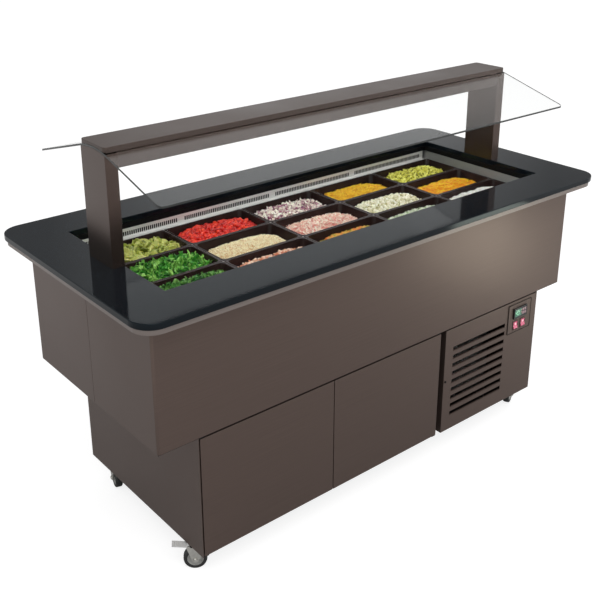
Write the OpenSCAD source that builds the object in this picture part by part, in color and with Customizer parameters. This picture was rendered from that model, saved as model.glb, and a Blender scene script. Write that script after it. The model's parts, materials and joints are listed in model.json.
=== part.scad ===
// Island salad bar: a ventilated cold well with fifteen lift-out pans in a stone worktop,
// under a folded glass sneeze guard, on a cabinet with two doors and a machine compartment.
// Origin: on the floor below the centre of the worktop. X runs right, Y to the back, Z up.

/* [Pans] */
// Length of a pan's rim, along the counter
pan_l = 325; // [300:1:350]
// Width of a pan's rim, across the counter
pan_w = 176; // [150:1:190]
// Depth of a pan below its rim
pan_depth = 100; // [65:5:150]
// Width of a pan's rim from its edge to the opening
pan_rim_w = 7; // [6:0.5:10]
// Thickness of a pan's rim
pan_rim_t = 2; // [1.5:0.5:3]
// Wall of a pan
pan_wall = 2.5; // [1.5:0.5:4]
// Outer corner radius of a pan's rim
pan_rim_r = 10; // [4:1:14]
// Gap between two pans along the counter
pan_gap_x = 2; // [1:0.5:4]
// Gap between two pans across the counter
pan_gap_y = 1; // [0.5:0.5:4]
// Level of the food's crown below the rim
food_below_rim = 12; // [8:1:30]
// Radius of the food's crowned top
food_crown_r = 320; // [250:10:900]

/* [Worktop] */
// Width of stone at each end of the opening
border_x = 170; // [150:1:220]
// Width of stone in front of and behind the opening
border_y = 162.5; // [150:0.5:200]
// Thickness of the stone
slab_t = 20; // [15:1:30]
// Corner radius of the stone
slab_corner_r = 70; // [20:1:100]
// Height of the support rim below the stone
rim_h = 18; // [16:1:30]
// How far the support rim stands back from the stone's edge
rim_inset = 8; // [4:1:15]
// Sheet thickness of the support rim
rim_sheet = 2; // [1.5:0.5:3]

/* [Cold well] */
// Gap between the block of pans and the opening at each end
end_margin = 8.5; // [7:0.5:15]
// Gap between the block of pans and the opening at front and back
side_margin = 22.5; // [20:0.5:40]
// Depth of the pans' rims below the top of the stone
rim_depth = 69; // [62:1:90]
// Thickness of the dark ring that lines the cut-out
breaker_t = 14; // [13:1:20]
// Sheet thickness of the tub
tub_sheet = 1.5; // [1:0.5:3]
// Depth of the tub's floor below the pans' rims
tub_depth = 332; // [300:1:335]
// Inward slope of the tub's end walls above the ledge
end_slope = 6; // [2:1:7]
// Thickness of the foam below and round the tub
foam_t = 45; // [30:1:46]
// Depth of the air duct behind each air grille
duct_t = 12; // [8:1:12]
// Width of a slot in the air grille
slot_w = 4; // [3:0.5:5]
// Height of a slot in the air grille
slot_h = 13; // [8:1:16]
// Pitch of the slots
slot_pitch = 8; // [7:0.5:12]
// Plain stretch between two groups of slots
slot_group_gap = 22; // [12:1:40]
// Width of the bars between the pans
bar_w = 7; // [5:0.5:7]
// Height of the bars between the pans
bar_h = 14; // [10:1:20]
// Thickness of the bars' end tabs
bar_tab = 1; // [0.5:0.5:1.5]

/* [Body] */
// How far the body stands back from the stone at each end
body_inset_x = 70; // [50:1:100]
// How far the body stands back from the stone at front and back
body_inset_y = 82; // [60:1:85]
// Height of the upper body
apron_h = 415; // [400:1:460]
// Fold radius of the body's corners
fold_r = 8; // [4:1:15]
// Width of the body's inward flanges
flange_w = 20; // [12:1:22]
// Sheet thickness of the upper body
body_sheet = 2; // [1:0.5:2]
// Seam between the front and rear wraps
wrap_seam = 1; // [0.5:0.5:2]
// Thickness of the tray below the upper body
tray_t = 2; // [1.5:0.5:4]

/* [Sneeze guard] */
// Width of a post along the counter
post_w = 40; // [30:1:60]
// Depth of a post across the counter
post_d = 140; // [100:1:160]
// Wall of the posts and of the beam
post_wall = 2; // [1.5:0.5:4]
// Clear height below the beam
beam_gap = 297; // [270:1:340]
// Height of the beam at its crown
beam_h = 53; // [40:1:80]
// Thickness of the glass
glass_t = 6; // [5:1:8]
// Width of the glass across the counter
glass_d = 700; // [560:1:760]
// Slope of each side of the glass
glass_slope = 16; // [10:1:20]
// Outer radius of the bend along the ridge
glass_bend_r = 300; // [200:10:400]
// Corner radius of the glass
glass_corner_r = 40; // [10:1:60]
// Thickness of the cap over the ridge
cap_t = 9; // [6:1:20]
// Corner radius of the cap
cap_corner_r = 12; // [2:1:25]

/* [Base cabinet] */
// Height of the cabinet between castors and tray
base_h = 425; // [400:1:500]
// How far the cabinet stands back from the body at each end
base_inset_x = 135; // [80:1:180]
// How far the cabinet stands back from the body at the back
base_inset_back = 34; // [20:1:60]
// Sheet thickness of the cabinet's panels
panel_sheet = 2; // [1.5:0.5:2.5]
// Thickness of a door
door_t = 20; // [16:1:24]
// Width of the left door
left_door_w = 519; // [420:1:560]
// Width of the centre door
centre_door_w = 504; // [420:1:560]
// Seam between the two doors
door_seam = 3; // [2:0.5:6]
// Gap between the left door and the end panel
door_edge_gap = 4; // [4:0.5:8]
// Recess between the centre door and the machine panel
recess_w = 28; // [20:1:40]
// Leg of the frame's angles
angle_leg = 30; // [24:1:40]
// Thickness of the frame's angles
angle_t = 3; // [2:0.5:4]
// Radius of the doors' hinge pins
hinge_pin_r = 4; // [3:0.5:5]
// Distance of a hinge pin's axis from the door's front and edge
hinge_set = 8; // [6.5:0.5:9]

/* [Machine panel] */
// Louvre slots in the machine panel
louvre_count = 9; // [3:1:9]
// Height of a louvre slot
louvre_h = 17; // [8:1:20]
// Pitch of the louvre slots
louvre_pitch = 33.75; // [30:0.25:36]
// Length of a louvre slot
louvre_l = 292; // [200:1:300]
// Distance of the louvres from the panel's left edge
louvre_x = 43; // [30:1:60]
// Height of the lowest louvre above the panel's bottom edge
louvre_z = 58.5; // [40:0.5:80]
// Length of the control plate
plate_l = 133; // [124:1:150]
// Height of the control plate
plate_h = 119; // [110:1:130]
// Thickness of the control plate
plate_t = 1.5; // [1:0.5:3]
// Distance of the control plate from the panel's right edge
plate_edge = 33; // [25:1:40]
// Distance of the control plate below the panel's top edge
plate_top = 12; // [8:1:30]
// Length of the thermostat's bezel
thermostat_l = 77; // [70:1:90]
// Height of the thermostat's bezel
thermostat_h = 44; // [36:1:48]
// Width of a rocker
rocker_w = 22; // [18:1:24]
// Height of a rocker
rocker_h = 32; // [26:1:34]
// Angle a rocker travels
rocker_throw = 16; // [8:1:18]

/* [Castors] */
// Height from the floor to the cabinet
castor_h = 95; // [90:1:110]
// Diameter of a wheel
wheel_d = 75; // [65:1:76]
// Width of a tyre
wheel_w = 25; // [20:1:30]
// Offset of a wheel's axle from its swivel axis
castor_trail = 30; // [24:1:34]
// Swivel axis to the cabinet's end
castor_inset_x = 48; // [40:1:70]
// Swivel axis to the cabinet's front and back
castor_inset_y = 66; // [60:1:90]
// Radius of an axle
axle_r = 4; // [3:0.5:5]
// Radius of a castor's stem
stem_r = 6; // [5:0.5:8]
// Angle a brake pedal travels
brake_swing = 25; // [10:1:25]

/* [Cold machine] */
// Radius of the compressor's can
compressor_r = 85; // [70:1:95]
// Height of the compressor's can
compressor_h = 180; // [150:1:220]
// Radius of the condenser's fan
condenser_fan_r = 100; // [80:1:110]
// Radius of the evaporator's fan
evaporator_fan_r = 70; // [50:1:75]
// Inner radius of the drain spout
drain_r = 10; // [8:0.5:12]
// Outer radius of the drain spout
drain_outer_r = 12.5; // [11:0.5:15]
// Length of the drain spout below the tray
drain_drop = 50; // [40:1:80]
// Radius of the hole for the drain hose in the cabinet's floor
drain_hole_r = 32; // [25:1:45]
// Distance of the drain from the machine panel's left edge
drain_inset = 130; // [120:1:145]
// Distance of the compressor's axis from the machine panel's right edge
compressor_side = 150; // [130:1:160]
// Distance of the compressor's axis from the back panel
compressor_back = 170; // [110:1:200]
// Radius of the cable inlet's bore
inlet_r = 5; // [4:0.5:7]

/* [Fits] */
// Radial clearance of pins and shafts in their bores
pin_fit = 0.05; // [0.02:0.01:0.1]
// Gap between the glass and what it is clamped in
glass_fit = 0.2; // [0.1:0.1:0.5]
// Gap at the ends of the bars between the pans
bar_fit = 0.2; // [0.1:0.1:0.5]
// Gap between two parts that move past each other
run_gap = 1; // [0.5:0.1:1.5]

/* [Hidden] */
$fn = 64;
COLUMNS = 5;
ROWS = ["front", "middle", "back"];
CASTORS = [
    ["front_left", -1, -1, 146],
    ["front_right", 1, -1, 25],
    ["back_left", -1, 1, 254],
    ["back_right", 1, 1, 40]
];
function pan_name(c, r) = str("pan_", c + 1, "_", ROWS[r]);

// Colours
STONE = [0.13, 0.13, 0.14];
BRONZE = [0.47, 0.44, 0.41];
BRONZE_DARK = [0.30, 0.27, 0.25];
STEEL = [0.78, 0.79, 0.80];
BLACK = [0.07, 0.07, 0.07];
PALE = [0.82, 0.82, 0.82];

// Plan sizes
pitch_x = pan_l + pan_gap_x;
pitch_y = pan_w + pan_gap_y;
block_l = COLUMNS * pitch_x - pan_gap_x;
block_w = len(ROWS) * pitch_y - pan_gap_y;
opening_l = block_l + 2 * end_margin;
opening_w = block_w + 2 * side_margin;
worktop_l = opening_l + 2 * border_x;
worktop_w = opening_w + 2 * border_y;
body_l = worktop_l - 2 * body_inset_x;
body_w = worktop_w - 2 * body_inset_y;
base_l = body_l - 2 * base_inset_x;
front_y = -body_w / 2;
back_y = body_w / 2 - base_inset_back;

// Levels
base_top = castor_h + base_h;
body_bottom = base_top + tray_t;
body_top = body_bottom + apron_h;
rim_top = body_top + rim_h;
top_z = rim_top + slab_t;
pan_top = top_z - rim_depth;
rest_z = pan_top - pan_rim_t;
ledge_z = rest_z - bar_tab;
breaker_z = body_top - body_sheet;
tub_floor = pan_top - tub_depth;
beam_z = top_z + beam_gap;
ridge_in = beam_z + beam_h;
ridge_out = ridge_in + glass_t;
cap_top = ridge_out + cap_t;
bend_z = ridge_out - glass_bend_r;

// Well
lip_y = block_w / 2 - pan_rim_w + pan_wall + run_gap;
lip_x = block_l / 2 - pan_rim_w + pan_wall + run_gap;
lip_h = 20;
pan_body_l = pan_l - 2 * pan_rim_w + 2 * pan_wall;
pan_body_w = pan_w - 2 * pan_rim_w + 2 * pan_wall;
pan_body_r = pan_rim_r + 8;
food_gap = 0.2;
seat_gap = 0.2;
tub_y = opening_w / 2 + duct_t;
lining_w = 20;

// Posts stand at the ends of the opening
post_x = opening_l / 2;
guard_l = opening_l + 2 * post_w;

// Base front
frame_y = front_y + door_t + 4;
left_door_x = -base_l / 2 + panel_sheet + door_edge_gap;
centre_door_x = left_door_x + left_door_w + door_seam;
panel_x = centre_door_x + centre_door_w + recess_w;
panel_r = base_l / 2 - panel_sheet - 1;
door_z = castor_h + angle_t + run_gap;
door_h = base_h - 2 * angle_t - 2 * run_gap;
hinge_y = front_y + hinge_set;
left_hinge_x = left_door_x + hinge_set;
centre_hinge_x = centre_door_x + centre_door_w - hinge_set;
mullion_x = centre_door_x - door_seam / 2;
recess_x = panel_x - recess_w / 2;
plate_x = panel_r - plate_edge - plate_l / 2;
plate_z = base_top - 3 - plate_top - plate_h / 2;
thermostat_z = plate_z + plate_h / 2 - 17 - thermostat_h / 2;
rocker_z = plate_z - plate_h / 2 + 28.5;
rocker_xs = [plate_x - 22, plate_x + 22];
rocker_y = front_y - plate_t - 2;
bezel_border = 4;
screw_r = 2;
screw_head_r = 4;
screw_head_h = 2.5;
screw_l = door_t + 4 + angle_t;
screw_fit = 0.1;

// Machine compartment
partition_x = recess_x;
condenser_x = panel_x + louvre_x + louvre_l / 2;
condenser_h = louvre_count * louvre_pitch;
condenser_z = castor_h + louvre_z + louvre_h / 2 + (louvre_count - 1) / 2 * louvre_pitch;
condenser_y = frame_y + 40;
condenser_t = 50;
condenser_fan_y = condenser_y + condenser_t + 40;
compressor_x = panel_r - compressor_side;
compressor_y = back_y - compressor_back;
drain_x = panel_x + drain_inset;
coil_x = -120;
coil_l = 420;
coil_w = 300;
coil_h = 110;
coil_foot = 14;
evaporator_fan_x = 150;
shaft_r = 3;
floor_top = castor_h + angle_t;

// Castors
stem_x = base_l / 2 - castor_inset_x;
stem_front = front_y + castor_inset_y;
stem_back = back_y - castor_inset_y;
wheel_r = wheel_d / 2;
cheek_t = 3;
cheek_y = wheel_w / 2 + 2.5;
crown_z = wheel_d + 6;
crown_top = castor_h - 0.3;
brake_x = castor_trail + 20;
brake_z = wheel_d + 9;
brake_r = 2.5;

// Plain shapes
module rounded(l, w, r) {
    union() {
        square([l - 2 * r, w], center = true);
        square([l, w - 2 * r], center = true);
        for (x = [-1, 1], y = [-1, 1]) {
            translate([x * (l / 2 - r), y * (w / 2 - r)]) circle(r);
        }
    }
}

module block(l, w, h) {
    translate([-l / 2, -w / 2, 0]) cube([l, w, h]);
}

module ring(l, w, h, inner_l, inner_w, r) {
    linear_extrude(h) difference() {
        rounded(l, w, r);
        square([inner_l, inner_w], center = true);
    }
}

module along_x(l) {
    translate([-l / 2, 0, 0]) rotate([90, 0, 90]) linear_extrude(l) children();
}

module rod_x(r, l) {
    translate([-l / 2, 0, 0]) rotate([0, 90, 0]) cylinder(r = r, h = l);
}

module rod_y(r, l) {
    translate([0, l / 2, 0]) rotate([90, 0, 0]) cylinder(r = r, h = l);
}

// Everything below a roof of the glass's shape, whose bend has radius r
module under_roof(r, l) {
    x = r * sin(glass_slope);
    z = r * cos(glass_slope);
    reach = glass_d;
    translate([0, 0, bend_z]) along_x(l) union() {
        circle(r, $fn = 180);
        polygon([
            [-x, z], [-x - reach * cos(glass_slope), z - reach * sin(glass_slope)],
            [-x - reach, -reach], [x + reach, -reach],
            [x + reach * cos(glass_slope), z - reach * sin(glass_slope)], [x, z], [0, 0]
        ]);
    }
}

// Worktop
module worktop() {
    color(STONE) translate([0, 0, rim_top])
        ring(worktop_l, worktop_w, slab_t, opening_l, opening_w, slab_corner_r);
}

module worktop_rim() {
    l = worktop_l - 2 * rim_inset;
    w = worktop_w - 2 * rim_inset;
    r = slab_corner_r - rim_inset;
    inner_l = body_l - 2 * flange_w;
    inner_w = body_w - 2 * flange_w;
    color(BRONZE) translate([0, 0, body_top]) difference() {
        ring(l, w, rim_h, inner_l, inner_w, r);
        translate([0, 0, -1]) ring(
            l - 2 * rim_sheet, w - 2 * rim_sheet, rim_h + 1 - rim_sheet,
            inner_l + 2 * rim_sheet, inner_w + 2 * rim_sheet, r - rim_sheet
        );
    }
}

module opening_frame() {
    l = opening_l + 2 * (breaker_t + duct_t);
    w = opening_w + 2 * (breaker_t + duct_t);
    color(BLACK) translate([0, 0, breaker_z])
        ring(l, w, rim_top - breaker_z, opening_l, opening_w, 4);
}

// Cold well
module end_profile(half, bottom, top, slope) {
    polygon([[-half + slope, bottom], [half - slope, bottom], [half, top], [-half, top]]);
}

module tub_liner() {
    outer_l = opening_l + 2 * tub_sheet;
    outer_w = 2 * tub_y + 2 * tub_sheet;
    lower_l = 2 * lip_x;
    color(STEEL) difference() {
        union() {
            translate([0, 0, tub_floor - tub_sheet])
                block(lower_l + 2 * tub_sheet, outer_w, ledge_z - tub_floor);
            translate([0, 0, ledge_z - tub_sheet]) block(outer_l, outer_w, breaker_z - ledge_z + tub_sheet);
            translate([0, 0, breaker_z - tub_sheet])
                block(outer_l + 2 * lining_w, outer_w + 2 * lining_w, tub_sheet);
        }
        translate([0, 0, tub_floor]) block(lower_l, 2 * tub_y, breaker_z - tub_floor + 1);
        translate([0, tub_y, 0]) rotate([90, 0, 0]) linear_extrude(2 * tub_y)
            end_profile(opening_l / 2, ledge_z, breaker_z + 0.01, end_slope);
        translate([drain_x, 0, tub_floor - tub_sheet - 1]) cylinder(r = drain_outer_r + 1.2, h = tub_sheet + 2);
    }
}

module air_grille() {
    l = 2 * lip_x - run_gap;
    h = breaker_z - ledge_z;
    group_l = (opening_l - 2 * end_slope - 5 * slot_group_gap) / 4;
    slots = floor(group_l / slot_pitch);
    grille_y = opening_w / 2;
    union() {
        translate([0, grille_y + tub_sheet, 0]) rotate([90, 0, 0]) linear_extrude(tub_sheet) difference() {
            translate([-l / 2, ledge_z]) square([l, h]);
            for (g = [-1.5 : 1 : 1.5], s = [0 : slots - 1]) {
                x = g * (group_l + slot_group_gap) + (s - (slots - 1) / 2) * slot_pitch;
                translate([x - slot_w / 2, ledge_z + h / 4]) square([slot_w, slot_h]);
            }
        }
        translate([-l / 2, lip_y, ledge_z - tub_sheet - seat_gap])
            cube([l, grille_y - lip_y + tub_sheet, tub_sheet]);
        translate([-l / 2, lip_y, ledge_z - lip_h]) cube([l, tub_sheet, lip_h - seat_gap]);
    }
}

module air_grilles() {
    color(STEEL) union() {
        air_grille();
        mirror([0, 1, 0]) air_grille();
    }
}

module insulation() {
    l = opening_l + 2 * tub_sheet + 2 * foam_t;
    w = 2 * tub_y + 2 * tub_sheet + 2 * foam_t;
    top = breaker_z - tub_sheet;
    color([0.86, 0.80, 0.60]) difference() {
        translate([0, 0, body_bottom]) block(l, w, top - body_bottom);
        translate([0, 0, tub_floor - tub_sheet])
            block(2 * lip_x + 2 * tub_sheet, 2 * tub_y + 2 * tub_sheet, top - tub_floor + 10);
        translate([0, 0, ledge_z - tub_sheet])
            block(opening_l + 2 * tub_sheet, 2 * tub_y + 2 * tub_sheet, top - ledge_z + 10);
        translate([drain_x, 0, body_bottom - 1]) cylinder(r = drain_outer_r + 1.5, h = tub_floor - body_bottom);
    }
}

// Cross bars carry the columns, and short bars between them carry the rows
module pan_rest_bars() {
    short_l = pitch_x - bar_w - 2 * bar_fit;
    end_l = lip_x - (COLUMNS / 2 - 1) * pitch_x - bar_w / 2 - 2 * bar_fit;
    ledge_end = opening_l / 2 - end_slope - bar_fit;
    tab_l = ledge_end - lip_x + bar_h / 2;
    color(STEEL) union() {
        for (c = [1 : COLUMNS - 1]) {
            x = (c - COLUMNS / 2) * pitch_x;
            translate([x, 0, rest_z - bar_h]) block(bar_w, 2 * lip_y - 2 * bar_fit, bar_h);
            translate([x, 0, ledge_z]) block(bar_w, opening_w - run_gap, bar_tab);
        }
        for (r = [1 : len(ROWS) - 1]) {
            y = (r - len(ROWS) / 2) * pitch_y;
            for (c = [1 : COLUMNS - 2]) {
                x = (c - (COLUMNS - 1) / 2) * pitch_x;
                translate([x, y, rest_z - bar_h]) block(short_l, bar_w, bar_h);
            }
            for (side = [-1, 1]) {
                x = side * (lip_x - bar_fit - end_l / 2);
                translate([x, y, rest_z - bar_h]) block(end_l, bar_w, bar_h);
                translate([side * (ledge_end - tab_l / 2), y, ledge_z]) block(tab_l, bar_w, bar_tab);
            }
        }
    }
}

module pan(c, r) {
    x = (c - (COLUMNS - 1) / 2) * pitch_x;
    y = (r - (len(ROWS) - 1) / 2) * pitch_y;
    inner_l = pan_body_l - 2 * pan_wall;
    inner_w = pan_body_w - 2 * pan_wall;
    inner_r = pan_body_r - pan_wall;
    floor_z = pan_top - pan_depth;
    translate([x, y, 0]) {
        color(BLACK) difference() {
            union() {
                translate([0, 0, rest_z]) linear_extrude(pan_rim_t) rounded(pan_l, pan_w, pan_rim_r);
                translate([0, 0, floor_z]) linear_extrude(pan_depth - 1)
                    rounded(pan_body_l, pan_body_w, pan_body_r);
            }
            translate([0, 0, floor_z + pan_wall]) linear_extrude(pan_depth) rounded(inner_l, inner_w, inner_r);
        }
        color(food_colour(c, r)) food(inner_l, inner_w, inner_r, floor_z + pan_wall);
    }
}

module food(l, w, r, bottom) {
    crown = pan_top - food_below_rim;
    intersection() {
        translate([0, 0, bottom + food_gap]) linear_extrude(pan_depth)
            rounded(l - 2 * food_gap, w - 2 * food_gap, r - food_gap);
        translate([0, 0, crown - food_crown_r]) rod_x(food_crown_r, l, $fn = 180);
    }
}

FOODS = [
    [[0.25, 0.42, 0.12], [0.42, 0.62, 0.20], [0.62, 0.68, 0.32]],
    [[0.86, 0.50, 0.40], [0.78, 0.62, 0.38], [0.70, 0.20, 0.12]],
    [[0.80, 0.55, 0.25], [0.72, 0.45, 0.52], [0.66, 0.48, 0.60]],
    [[0.86, 0.86, 0.80], [0.86, 0.82, 0.68], [0.90, 0.70, 0.22]],
    [[0.90, 0.90, 0.88], [0.88, 0.50, 0.14], [0.62, 0.68, 0.36]]
];
function food_colour(c, r) = FOODS[c][r];

// Upper body: two folded wraps that meet in the middle of each end
module wrap_shell() {
    difference() {
        translate([0, 0, body_bottom]) linear_extrude(apron_h) rounded(body_l, body_w, fold_r);
        translate([0, 0, body_bottom + body_sheet]) linear_extrude(apron_h - 2 * body_sheet)
            rounded(body_l - 2 * body_sheet, body_w - 2 * body_sheet, fold_r - body_sheet);
        translate([0, 0, body_bottom - 1]) block(body_l - 2 * flange_w, body_w - 2 * flange_w, apron_h + 2);
    }
}

module front_wrap() {
    color(BRONZE) intersection() {
        wrap_shell();
        translate([-body_l / 2, -body_w / 2, body_bottom - 1])
            cube([body_l, (body_w - wrap_seam) / 2, apron_h + 2]);
    }
}

module rear_wrap() {
    color(BRONZE) mirror([0, 1, 0]) front_wrap();
}

module undertray() {
    color(BRONZE_DARK) difference() {
        translate([0, 0, base_top]) block(body_l - 2 * body_sheet, body_w - 2 * body_sheet, tray_t);
        translate([drain_x, 0, base_top - 1]) cylinder(r = drain_outer_r + 1.5, h = tray_t + 2);
    }
}

// Cooling parts in the well
module evaporator_coil() {
    fins = 20;
    tube_r = 5;
    fin_t = 1;
    z0 = tub_floor + coil_foot;
    color([0.72, 0.68, 0.62]) union() {
        for (i = [0 : fins]) {
            x = coil_x + (i / fins - 0.5) * coil_l;
            translate([x, 0, z0]) block(fin_t, coil_w, coil_h);
        }
        for (side = [-1, 1]) {
            translate([coil_x + side * (coil_l / 2 + 1), 0, tub_floor]) block(2, coil_w, coil_h + coil_foot);
        }
        for (row = [0 : 1], i = [-3 : 3]) {
            translate([coil_x, i * 40, z0 + 30 + row * 50]) rod_x(tube_r, coil_l + 20);
        }
    }
}

module drain_spout() {
    tube_bottom = base_top - drain_drop;
    color(BLACK) translate([drain_x, 0, 0]) difference() {
        union() {
            translate([0, 0, tub_floor]) cylinder(r = drain_outer_r + 8, h = 2);
            translate([0, 0, base_top - 8]) cylinder(r = drain_outer_r + 1, h = tub_floor - base_top + 9);
            translate([0, 0, tube_bottom]) cylinder(r = drain_outer_r, h = tub_floor - tube_bottom + 1);
        }
        translate([0, 0, tube_bottom - 1]) cylinder(r = drain_r, h = tub_floor - tube_bottom + 10);
    }
}

// Sneeze guard
module post() {
    color(BRONZE) difference() {
        intersection() {
            translate([post_x + post_w / 2, 0, top_z]) block(post_w, post_d, ridge_in - top_z);
            under_roof(glass_bend_r - glass_t - glass_fit, guard_l + 2);
        }
        translate([post_x + post_w / 2, 0, top_z + post_wall])
            block(post_w - 2 * post_wall, post_d - 2 * post_wall, ridge_in - top_z);
        for (y = [-1, 1]) {
            translate([post_x + post_w / 2, y * post_d / 4, top_z - 1]) cylinder(r = 4.5, h = post_wall + 2);
        }
    }
}

module right_post() { post(); }

module left_post() { mirror([1, 0, 0]) post(); }

module guard_beam() {
    l = opening_l;
    edge_drop = glass_bend_r - sqrt(pow(glass_bend_r, 2) - pow(post_d / 2, 2));
    void_h = beam_h - edge_drop - 2 * post_wall - 1;
    color(BRONZE) difference() {
        intersection() {
            translate([0, 0, beam_z]) block(l, post_d, beam_h);
            under_roof(glass_bend_r - glass_t - glass_fit, l);
        }
        translate([0, 0, beam_z + post_wall]) block(l + 2, post_d - 2 * post_wall, void_h);
    }
}

module beam_cap() {
    color(BRONZE_DARK) difference() {
        translate([0, 0, ridge_out - post_d / 4]) linear_extrude(cap_top - ridge_out + post_d / 4)
            rounded(guard_l, post_d, cap_corner_r);
        under_roof(glass_bend_r + glass_fit, guard_l + 2);
    }
}

module sneeze_glass() {
    color([0.80, 0.88, 0.86, 0.35]) intersection() {
        difference() {
            under_roof(glass_bend_r, guard_l);
            under_roof(glass_bend_r - glass_t, guard_l + 2);
        }
        translate([0, 0, top_z + 100]) linear_extrude(cap_top - top_z) rounded(guard_l, glass_d, glass_corner_r);
    }
}

// Base cabinet
module upright(x, y, sx, sy) {
    h = base_h - angle_t;
    translate([x, y, castor_h]) union() {
        translate([min(0, sx * angle_leg), min(0, sy * angle_t), 0]) cube([angle_leg, angle_t, h]);
        translate([min(0, sx * angle_t), min(0, sy * angle_leg), 0]) cube([angle_t, angle_leg, h]);
    }
}

module hinge_lug(x, z) {
    translate([x - hinge_set, front_y + 2, z]) cube([2 * hinge_set, frame_y - front_y, angle_t]);
}

module base_frame() {
    half = base_l / 2 - panel_sheet;
    y1 = back_y - panel_sheet;
    stem_hole_h = 36;
    color(BLACK) difference() {
        union() {
            translate([-half, frame_y, castor_h]) cube([2 * half, y1 - frame_y, angle_t]);
            upright(-half, frame_y, 1, 1);
            upright(half, frame_y, -1, 1);
            upright(-half, y1, 1, -1);
            upright(half, y1, -1, -1);
            upright(mullion_x - angle_leg / 2, frame_y, 1, 1);
            translate([recess_x - angle_leg / 2, frame_y, castor_h])
                cube([recess_w + angle_leg / 2 + 6, angle_t, base_h - angle_t]);
            translate([partition_x, frame_y, castor_h]) cube([panel_sheet, y1 - frame_y, base_h - 1]);
            for (y = [frame_y, y1 - angle_leg]) {
                translate([-half, y, base_top - angle_t]) cube([2 * half, angle_leg, angle_t]);
            }
            for (x = [-half, half - angle_leg]) {
                translate([x, frame_y, base_top - angle_t]) cube([angle_leg, y1 - frame_y, angle_t]);
            }
            for (x = [left_hinge_x, centre_hinge_x], z = [castor_h, base_top - angle_t]) hinge_lug(x, z);
            for (c = CASTORS) {
                translate([c[1] * stem_x, c[2] < 0 ? stem_front : stem_back, castor_h])
                    cylinder(r = stem_r + 5, h = stem_hole_h);
            }
        }
        for (x = [left_hinge_x, centre_hinge_x]) {
            translate([x, hinge_y, castor_h - 1]) cylinder(r = hinge_pin_r + pin_fit, h = angle_t + 2);
            translate([x, hinge_y, base_top - angle_t - 1]) cylinder(r = hinge_pin_r + pin_fit, h = angle_t + 2);
        }
        for (c = CASTORS) {
            translate([c[1] * stem_x, c[2] < 0 ? stem_front : stem_back, castor_h - 1])
                cylinder(r = stem_r + pin_fit, h = stem_hole_h + 2);
        }
        translate([drain_x, 0, castor_h - 1]) cylinder(r = drain_hole_r, h = angle_t + 2);
        machine_screw_place() rod_y(screw_r + screw_fit, 2 * screw_l);
        back_screw_places() rod_y(screw_r + screw_fit, 2 * screw_l);
    }
}

module side_panel() {
    color(BRONZE) translate([base_l / 2 - panel_sheet, front_y, castor_h])
        cube([panel_sheet, back_y - front_y, base_h]);
}

module right_side_panel() { side_panel(); }

module left_side_panel() { mirror([1, 0, 0]) side_panel(); }

module vent_rows(count, l, h, pitch) {
    for (i = [0 : count - 1]) translate([0, 0, i * pitch]) cube([l, 4 * panel_sheet, h], center = true);
}

module back_panel() {
    half = base_l / 2 - panel_sheet;
    color(BRONZE) difference() {
        translate([-half, back_y - panel_sheet, castor_h]) cube([2 * half, panel_sheet, base_h]);
        translate([condenser_x, back_y, castor_h + louvre_z + 80]) vent_rows(louvre_count - 2, louvre_l, 10, 25);
        translate([compressor_x, back_y, castor_h + 50]) rod_y(inlet_r + 5.2, 20);
        back_screw_places() rod_y(screw_r + screw_fit, 2 * screw_l);
    }
}

module tray_panel(x0, x1, z0, z1, depth) {
    translate([x0, front_y, z0]) difference() {
        cube([x1 - x0, depth, z1 - z0]);
        translate([panel_sheet, panel_sheet, panel_sheet])
            cube([x1 - x0 - 2 * panel_sheet, depth, z1 - z0 - 2 * panel_sheet]);
    }
}

module machine_panel() {
    bottom = castor_h;
    top = base_top - 3;
    cut_l = plate_l - 30;
    cut_h = plate_h - 12;
    lip_l = louvre_l + 6;
    lip_d = 9;
    lip_t = 1.5;
    lip_lean = 40;
    color(BRONZE) difference() {
        union() {
            tray_panel(panel_x, panel_r, bottom, top, frame_y - front_y);
            for (i = [0 : louvre_count - 1]) {
                translate([condenser_x, front_y + panel_sheet, louvre_top(i)])
                    rotate([-lip_lean, 0, 0]) translate([-lip_l / 2, -1, -0.5]) cube([lip_l, lip_d, lip_t]);
            }
        }
        for (i = [0 : louvre_count - 1]) {
            translate([condenser_x - louvre_l / 2, front_y - 1, louvre_top(i) - louvre_h])
                cube([louvre_l, panel_sheet + 1, louvre_h]);
        }
        translate([plate_x - cut_l / 2, front_y - 1, plate_z - cut_h / 2]) cube([cut_l, panel_sheet + 2, cut_h]);
        machine_screw_place() rod_y(screw_r + screw_fit, 2 * screw_l);
    }
}
function louvre_top(i) = castor_h + louvre_z + i * louvre_pitch + louvre_h;

module machine_screw_place() {
    translate([panel_x + 9, front_y, (castor_h + base_top) / 2]) children();
}

module back_screw_places() {
    x = base_l / 2 - panel_sheet - angle_leg / 2;
    for (sx = [-1, 1], z = [castor_h + 60, base_top - 60]) translate([sx * x, back_y, z]) children();
}

// Door: a folded tray with a pivot pin at top and bottom
module door(x, w, pin_x) {
    pin_reach = angle_t + run_gap - 0.5;
    color(BRONZE) union() {
        tray_panel(x, x + w, door_z, door_z + door_h, door_t);
        for (z = [door_z - pin_reach, door_z + door_h - panel_sheet]) {
            translate([pin_x, hinge_y, z]) cylinder(r = hinge_pin_r, h = pin_reach + panel_sheet);
        }
    }
}

module left_door() { door(left_door_x, left_door_w, left_hinge_x); }

module centre_door() { door(centre_door_x, centre_door_w, centre_hinge_x); }

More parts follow.
